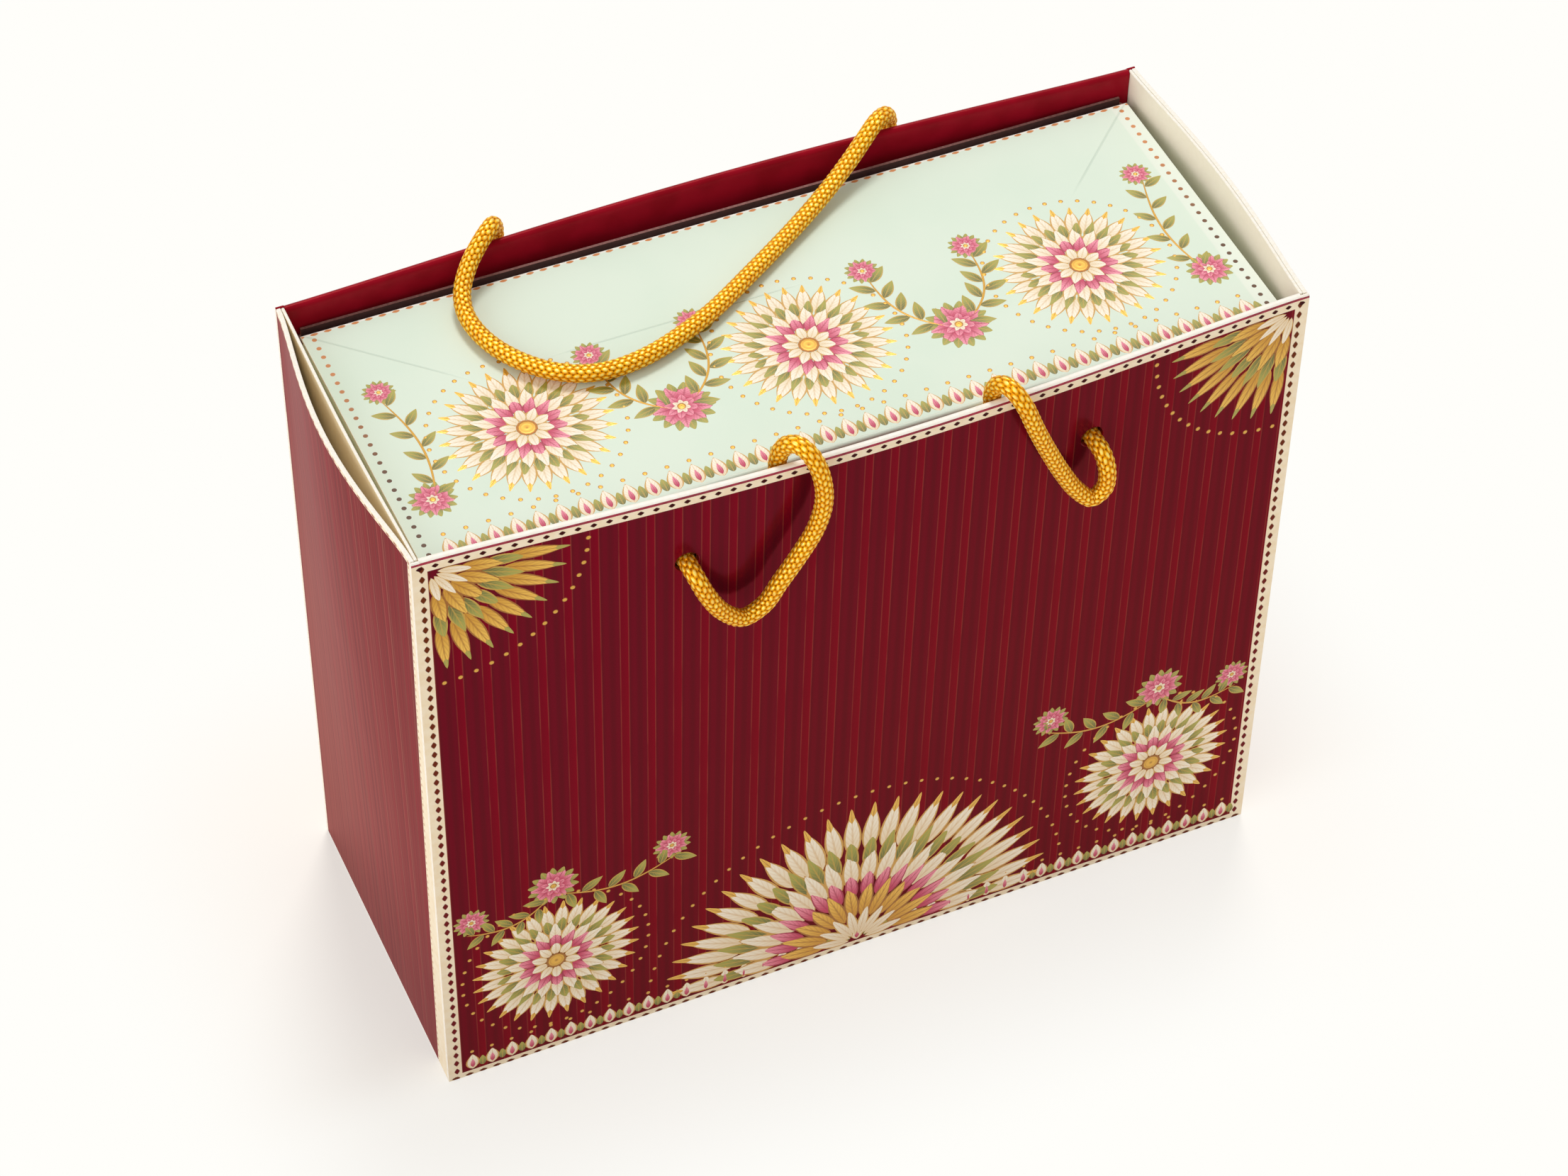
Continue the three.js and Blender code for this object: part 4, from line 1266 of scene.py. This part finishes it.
class Ornament:
    """Raised print on one surface: flat pieces in s and t, laid on the surface in low domes."""

    def __init__(self, lay):
        self.lay = lay
        self.patches = []

    def add(self, s, t, rise, uv, ink_number, layer):
        """Lays grids of s and t on the surface, raised by their layer and their own dome."""
        height = layer * PRINT_LAYER - PRINT_SINK + PRINT_DOME * rise
        self.patches.append(patch(self.lay(s, t, height + 0 * s), ink_number, uv))

    def petals(self, places, turns, inner, length, width, ink_number, layer):
        """Petals: u runs along and v across, half width = width / 2 x sin(pi u^0.8)^0.9."""
        places = np.broadcast_to(places, (len(turns), 2))
        u, v = np.linspace(0, 1, 10)[:, None], np.linspace(-1, 1, 5)[None, :]
        along = inner + length * u + 0 * v
        across = width / 2 * np.sin(math.pi * u**0.8) ** 0.9 * v
        cos, sin = np.cos(turns)[:, None, None], np.sin(turns)[:, None, None]
        s = places[:, 0, None, None] + along * cos - across * sin
        t = places[:, 1, None, None] + along * sin + across * cos
        uv = np.stack([u + 0 * v, (v + 1) / 2 + 0 * u], axis=-1)
        self.add(s, t, (1 - v**2) * np.sin(math.pi * u), uv, ink_number, layer)

    def dots(self, places, radius, ink_number, layer):
        """Round dots: rings from the middle out, domed as 1 - (radius share) squared."""
        places = np.asarray(places, float).reshape(-1, 2)
        share, turn = np.linspace(0, 1, 4)[:, None], np.linspace(0, TURN, 13)[None, :]
        s = places[:, 0, None, None] + radius * share * np.cos(turn)
        t = places[:, 1, None, None] + radius * share * np.sin(turn)
        uv = np.stack([0.5 + 0 * share * turn, 0.5 + 0.5 * share + 0 * turn], axis=-1)
        self.add(s, t, 1 - share**2 + 0 * turn, uv, ink_number, layer)

    def line(self, route, width, ink_number, layer):
        """A line of print along a route, tapering to its ends as sin(pi u)^0.4 of its width."""
        route = np.asarray(route, float)
        direction = np.gradient(route, axis=0)
        direction /= np.linalg.norm(direction, axis=1)[:, None]
        u, v = np.linspace(0, 1, len(route))[:, None], np.linspace(-1, 1, 3)[None, :]
        half = width / 2 * np.maximum(np.sin(math.pi * u), 0) ** 0.4
        s = route[:, :1] - direction[:, 1:] * half * v
        t = route[:, 1:] + direction[:, :1] * half * v
        uv = np.stack([0.5 + 0 * u * v, (v + 1) / 2 + 0 * u], axis=-1)
        self.add(s, t, 1 - v**2 + 0 * u, uv, ink_number, layer)

    def rosette(self, place, radius, rings, start=0.0, sweep=TURN):
        """Rings of petals round a place, each (inner share, length share, petals to a whole turn,
        fullness, ink), the first ring lowest, and a round gold heart. A part turn makes a fan."""
        for layer, (inner, length, count, fullness, ink_number) in enumerate(rings):
            number = max(1, round(count * sweep / TURN))
            turns = start + (np.arange(number) + 0.5) * sweep / number
            width = fullness * sweep / number * (inner + 0.55 * length) * radius
            self.petals(place, turns, inner * radius, length * radius, width, ink_number, layer)
        if sweep == TURN:
            self.dots([place], HEART * radius, GOLD_INK, len(rings) + 1)

    def dotted_rosette(self, place, radius, rings, dots, start=0.0, sweep=TURN):
        """A rosette or fan with an arc of gold dots round it: the arc's radius, its dots and their size."""
        self.rosette(place, radius, rings, start, sweep)
        reach, count, size = dots
        turns = start + (np.arange(count) + 0.5) * sweep / count
        places = np.array(place) + reach * np.stack([np.cos(turns), np.sin(turns)], axis=-1)
        self.dots(places, size, GOLD_INK, 1)

    def vine(self, route, leaf):
        """A gold stem along a route with olive leaves set off to both sides in turn."""
        self.line(route, STEM, GOLD_INK, 1)
        direction = np.gradient(route, axis=0)
        turns = np.arctan2(direction[:, 1], direction[:, 0])
        picks = np.arange(4, len(route) - 2, 4)
        sides = np.where(np.arange(len(picks)) % 2, 0.9, -0.9)
        self.petals(route[picks], turns[picks] + sides, 0.3, leaf, leaf * 0.42, OLIVE_INK, 2)

    def lace(self, starts, stop_s, level, height, pitch):
        """An edging: a row of cream petals with olive leaves between them and gold dots over them."""
        count = round((stop_s - starts) / pitch)
        s = starts + (np.arange(count) + 0.5) * (stop_s - starts) / count
        base = np.stack([s, np.full(count, level)], axis=-1)
        upright = np.full(count, TURN / 4)
        self.petals(base + [pitch / 2, 0], upright, 0.0, height * 0.8, pitch * 0.5, OLIVE_INK, 0)
        self.petals(base, upright, 0.0, height, pitch * 0.72, CREAM_INK, 1)
        self.petals(base, upright, height * 0.12, height * 0.6, pitch * 0.26, PINK_INK, 3)
        self.dots(base + [0, height * 1.18], pitch * 0.11, GOLD_INK, 1)

    def sprays(self, vines, blooms):
        """Leafy stems and blossoms on either side of the middle. A vine is its start, its end, its
        sag and its leaves' length, and a bloom is its place and its radius."""
        for side in (-1, 1):
            for (s, t), (end_s, end_t), sag, leaf in vines:
                self.vine(arc_route((side * s, t), (side * end_s, end_t), side * sag), leaf)
            for (s, t), radius in blooms:
                self.rosette((side * s, t), radius, BLOOM)

    def done(self, name, body, slot):
        """Makes the print one piece that rides on its board."""
        settle(make_mesh(name, self.patches, PRINT_INKS, crease=60.0), body, slot)


BLOOM = [
    (0.3, 0.7, 14, 1.25, OLIVE_INK), (0.22, 0.6, 9, 1.35, PINK_INK), (0.08, 0.42, 8, 1.2, PINK_INK),
    (0.05, 0.24, 7, 1.1, CREAM_INK),
]
ROSETTE = [
    (0.62, 0.4, 28, 0.55, GOLD_INK), (0.52, 0.42, 28, 1.05, CREAM_INK), (0.42, 0.34, 24, 0.8, OLIVE_INK),
    (0.28, 0.36, 18, 1.05, CREAM_INK), (0.2, 0.3, 14, 0.9, PINK_INK), (0.1, 0.22, 10, 1.0, CREAM_INK),
]
GOLD_FAN = [
    (0.6, 0.4, 36, 0.5, OLIVE_INK), (0.5, 0.44, 36, 0.85, GOLD_INK), (0.36, 0.32, 28, 0.8, OLIVE_INK),
    (0.2, 0.34, 20, 0.95, GOLD_INK), (0.06, 0.26, 16, 0.9, CREAM_INK),
]
GREAT_FAN = [
    (0.7, 0.3, 52, 0.5, GOLD_INK), (0.62, 0.32, 52, 0.95, CREAM_INK), (0.5, 0.26, 44, 0.75, OLIVE_INK),
    (0.38, 0.28, 36, 1.0, CREAM_INK), (0.3, 0.22, 32, 0.8, PINK_INK), (0.16, 0.26, 24, 0.95, GOLD_INK),
    (0.04, 0.2, 16, 0.95, CREAM_INK),
]


def arc_route(start, end, sag, count=40):
    """A bowed route between two places, sag to the left of the straight line at its middle."""
    start, end = np.array(start, float), np.array(end, float)
    u = np.linspace(0, 1, count)[:, None]
    across = np.array([start[1] - end[1], end[0] - start[0]])
    across /= np.linalg.norm(across)
    return start + (end - start) * u + across * sag * np.sin(math.pi * u)


# Sizes of the print: each rosette's radius and dots, and the height and pitch of each lace
GREAT_FAN_RADIUS, GREAT_FAN_DOTS = 76.0, (79.5, 40, 0.8)
CORNER_FAN_RADIUS, CORNER_FAN_DOTS = 47.0, (50.5, 15, 0.9)
WALL_ROSETTE_RADIUS, WALL_ROSETTE_DOTS = 31.0, (33.5, 36, 0.8)
LID_ROSETTE_RADIUS, LID_ROSETTE_DOTS = 29.0, (31.5, 36, 0.8)
WALL_LACE = (8.0, 7.2)
LID_LACE = (9.0, 7.4)
LID_LACE_INSET, LID_LACE_GAP = 7.0, 0.6
PRINT_GAP = 0.4

# Places of the print, on a long wall from the middle of its foot, on the lid from its middle
WALL_ROSETTE = (112, 47)
WALL_VINES = [((112, 82), (66, 84), 7.0, 9.0), ((112, 82), (143, 74), -6.0, 8.0)]
WALL_BLOOMS = [((112, 86), 10.0), ((70, 88), 7.5), ((141, 80), 7.0)]
LID_ROSETTES = [(-96, -12), (0, -12), (96, -12)]
LID_VINES = [
    ((48, -24), (66, 8), -6.0, 9.0), ((48, -24), (30, 10), 6.0, 9.0), ((134, -34), (134, 18), 5.0, 8.0),
]
LID_BLOOMS = [((48, -22), 12.0), ((66, 11), 6.5), ((30, 13), 6.5), ((134, -30), 8.5), ((133, 21), 6.0)]


def print_long_wall(name, wall):
    """Front and back walls: gold fans in the upper corners, a great half rosette at the foot with a
    rosette and blossoms on either hand, and lace along the lower border."""
    print_on = Ornament(wall.place)
    edge = CARRIER_WIDTH / 2 - SIDE_BORDER - PRINT_GAP
    foot, head = FOOT_BORDER + PRINT_GAP, CARRIER_HEIGHT - TOP_BORDER - PRINT_GAP
    print_on.lace(-edge, edge, foot, *WALL_LACE)
    print_on.dotted_rosette((0, foot), GREAT_FAN_RADIUS, GREAT_FAN, GREAT_FAN_DOTS, 0.0, TURN / 2)
    for side, start in ((-1, -TURN / 4), (1, TURN / 2)):
        corner, place = (side * edge, head), (side * WALL_ROSETTE[0], WALL_ROSETTE[1])
        print_on.dotted_rosette(corner, CORNER_FAN_RADIUS, GOLD_FAN, CORNER_FAN_DOTS, start, TURN / 4)
        print_on.dotted_rosette(place, WALL_ROSETTE_RADIUS, ROSETTE, WALL_ROSETTE_DOTS)
    print_on.sprays(WALL_VINES, WALL_BLOOMS)
    print_on.done(name, "carrier", "printed_board")


def print_lid(name):
    """The lid: three rosettes in a row near the front, blossoms and leaves between them, and lace
    along the front crease. Its rear half stays nearly plain."""
    def lay(s, t, h):
        return np.stack(np.broadcast_arrays(s, t, LID_TOP[2] + h), axis=-1)

    print_on = Ornament(lay)
    edge = LID_HALF - LID_LACE_INSET
    print_on.lace(-edge, edge, LID_LOW[1] + FOLD + LID_LACE_GAP, *LID_LACE)
    for place in LID_ROSETTES:
        print_on.dotted_rosette(place, LID_ROSETTE_RADIUS, ROSETTE, LID_ROSETTE_DOTS)
    print_on.sprays(LID_VINES, LID_BLOOMS)
    print_on.done(name, "lid", "mint_board")


print_long_wall("front_wall_ornament", FRONT)
print_long_wall("back_wall_ornament", BACK)
print_lid("lid_ornament")


# Stage

SKY_LIGHT = 0.53
FLOOR_GLOW = 0.5
FRONT_GLOW = 0.44
SHADOW_REACH = 100.0
FLOOR_REACH = 3000.0
FLOOR_DROP = 0.05
BACKDROP = colour(255, 254, 250)


def floor_finish():
    """Pale floor that keeps the shadow round the box, lighter in front of it, and turns to white
    backdrop further out."""
    finish = Finish("pale_floor", Roughness=0.9)
    x, y, _ = finish.place()
    beside = finish.calc("MAXIMUM", abs(x) - CARRIER_WIDTH / 2, 0.0)
    before = finish.calc("MAXIMUM", abs(y) - CARRIER_REACH, 0.0)
    near = finish.fade(finish.calc("SQRT", beside * beside + before * before), SHADOW_REACH, 0.0)
    front = finish.fade(y, 20.0 - CARRIER_REACH, -10.0 - CARRIER_REACH)
    keep = (front * -FRONT_GLOW + 1.0) * (1.0 - FLOOR_GLOW)
    white = 1.0 - near * keep
    diffuse = finish.add("BsdfDiffuse", {"Color": colour(255, 246, 236)})
    glow = finish.add("Emission", {"Color": BACKDROP})
    mixed = finish.add("MixShader", {0: finish.seen() * white, 1: diffuse, 2: glow})
    finish.put(finish.tree.nodes["Material Output"].inputs["Surface"], mixed)
    return finish.material


def make_floor():
    """A level square far wider than the view."""
    side = np.array([-FLOOR_REACH, FLOOR_REACH])
    corners = np.stack(np.broadcast_arrays(side[:, None], side[None, :], -FLOOR_DROP), axis=-1)
    make_mesh("floor", [patch(corners)], [floor_finish()])


def make_light(name, place, spread, strength):
    """A wide, even light from the direction of a place, so soft that shadows fade out."""
    lamp = bpy.data.lights.new(name, "SUN")
    lamp.angle = math.radians(spread)
    lamp.energy = strength
    made = bpy.data.objects.new(name, lamp)
    made.location = place
    made.rotation_mode = "QUATERNION"
    made.rotation_quaternion = (-Vector(place)).to_track_quat("-Z", "Y")
    bpy.context.scene.collection.objects.link(made)


def make_world():
    """Even white surroundings: a soft sky for the light, white where it is seen or mirrored."""
    world = bpy.data.worlds.new("studio")
    world.use_nodes = True
    nodes = Nodes(world.node_tree)
    sky = world.node_tree.nodes["Background"]
    strength = nodes.add("MapRange", {"Value": nodes.seen(), "To Min": SKY_LIGHT})
    nodes.put(sky.inputs["Color"], BACKDROP)
    nodes.put(sky.inputs["Strength"], strength)
    bpy.context.scene.world = world


# Camera, from the corners of the box in the photograph
CAMERA_AZIMUTH = math.radians(-24.396)
CAMERA_ELEVATION = math.radians(46.35)
CAMERA_ROLL = math.radians(0.885)
CAMERA_DISTANCE = 1477.05
CAMERA_AIM_ALONG = -1.716
CAMERA_AIM_HEIGHT = 121.576
PHOTO_WIDTH_PIXELS = 2212
FOCAL_PIXELS = 6131.9
SENSOR_WIDTH = 36.0
VIEW_DEPTH = 20.0


def make_camera():
    """The photograph's view: a long lens, in front of the left corner and well above the box."""
    azimuth, elevation = CAMERA_AZIMUTH, CAMERA_ELEVATION
    back = np.array([
        math.sin(azimuth) * math.cos(elevation),
        -math.cos(azimuth) * math.cos(elevation),
        math.sin(elevation),
    ])
    aim = np.array([
        CAMERA_AIM_ALONG * math.cos(azimuth),
        CAMERA_AIM_ALONG * math.sin(azimuth),
        CAMERA_AIM_HEIGHT,
    ])
    data = bpy.data.cameras.new("camera")
    data.sensor_width = SENSOR_WIDTH
    data.lens = FOCAL_PIXELS * SENSOR_WIDTH / PHOTO_WIDTH_PIXELS
    data.clip_end = VIEW_DEPTH
    camera = bpy.data.objects.new("camera", data)
    camera.location = metres(aim + back * CAMERA_DISTANCE)
    camera.rotation_mode = "QUATERNION"
    level = Vector(-back).to_track_quat("-Z", "Y")
    camera.rotation_quaternion = level @ Quaternion((0, 0, 1), CAMERA_ROLL)
    bpy.context.scene.collection.objects.link(camera)
    bpy.context.scene.camera = camera


make_floor()
make_world()
make_light("key_light", place=(0.45, 0.9, 1.9), spread=16.0, strength=1.36)
make_light("left_fill", place=(-2.0, -0.7, 0.7), spread=60.0, strength=1.25)
make_camera()
bpy.context.scene.view_settings.view_transform = "Standard"
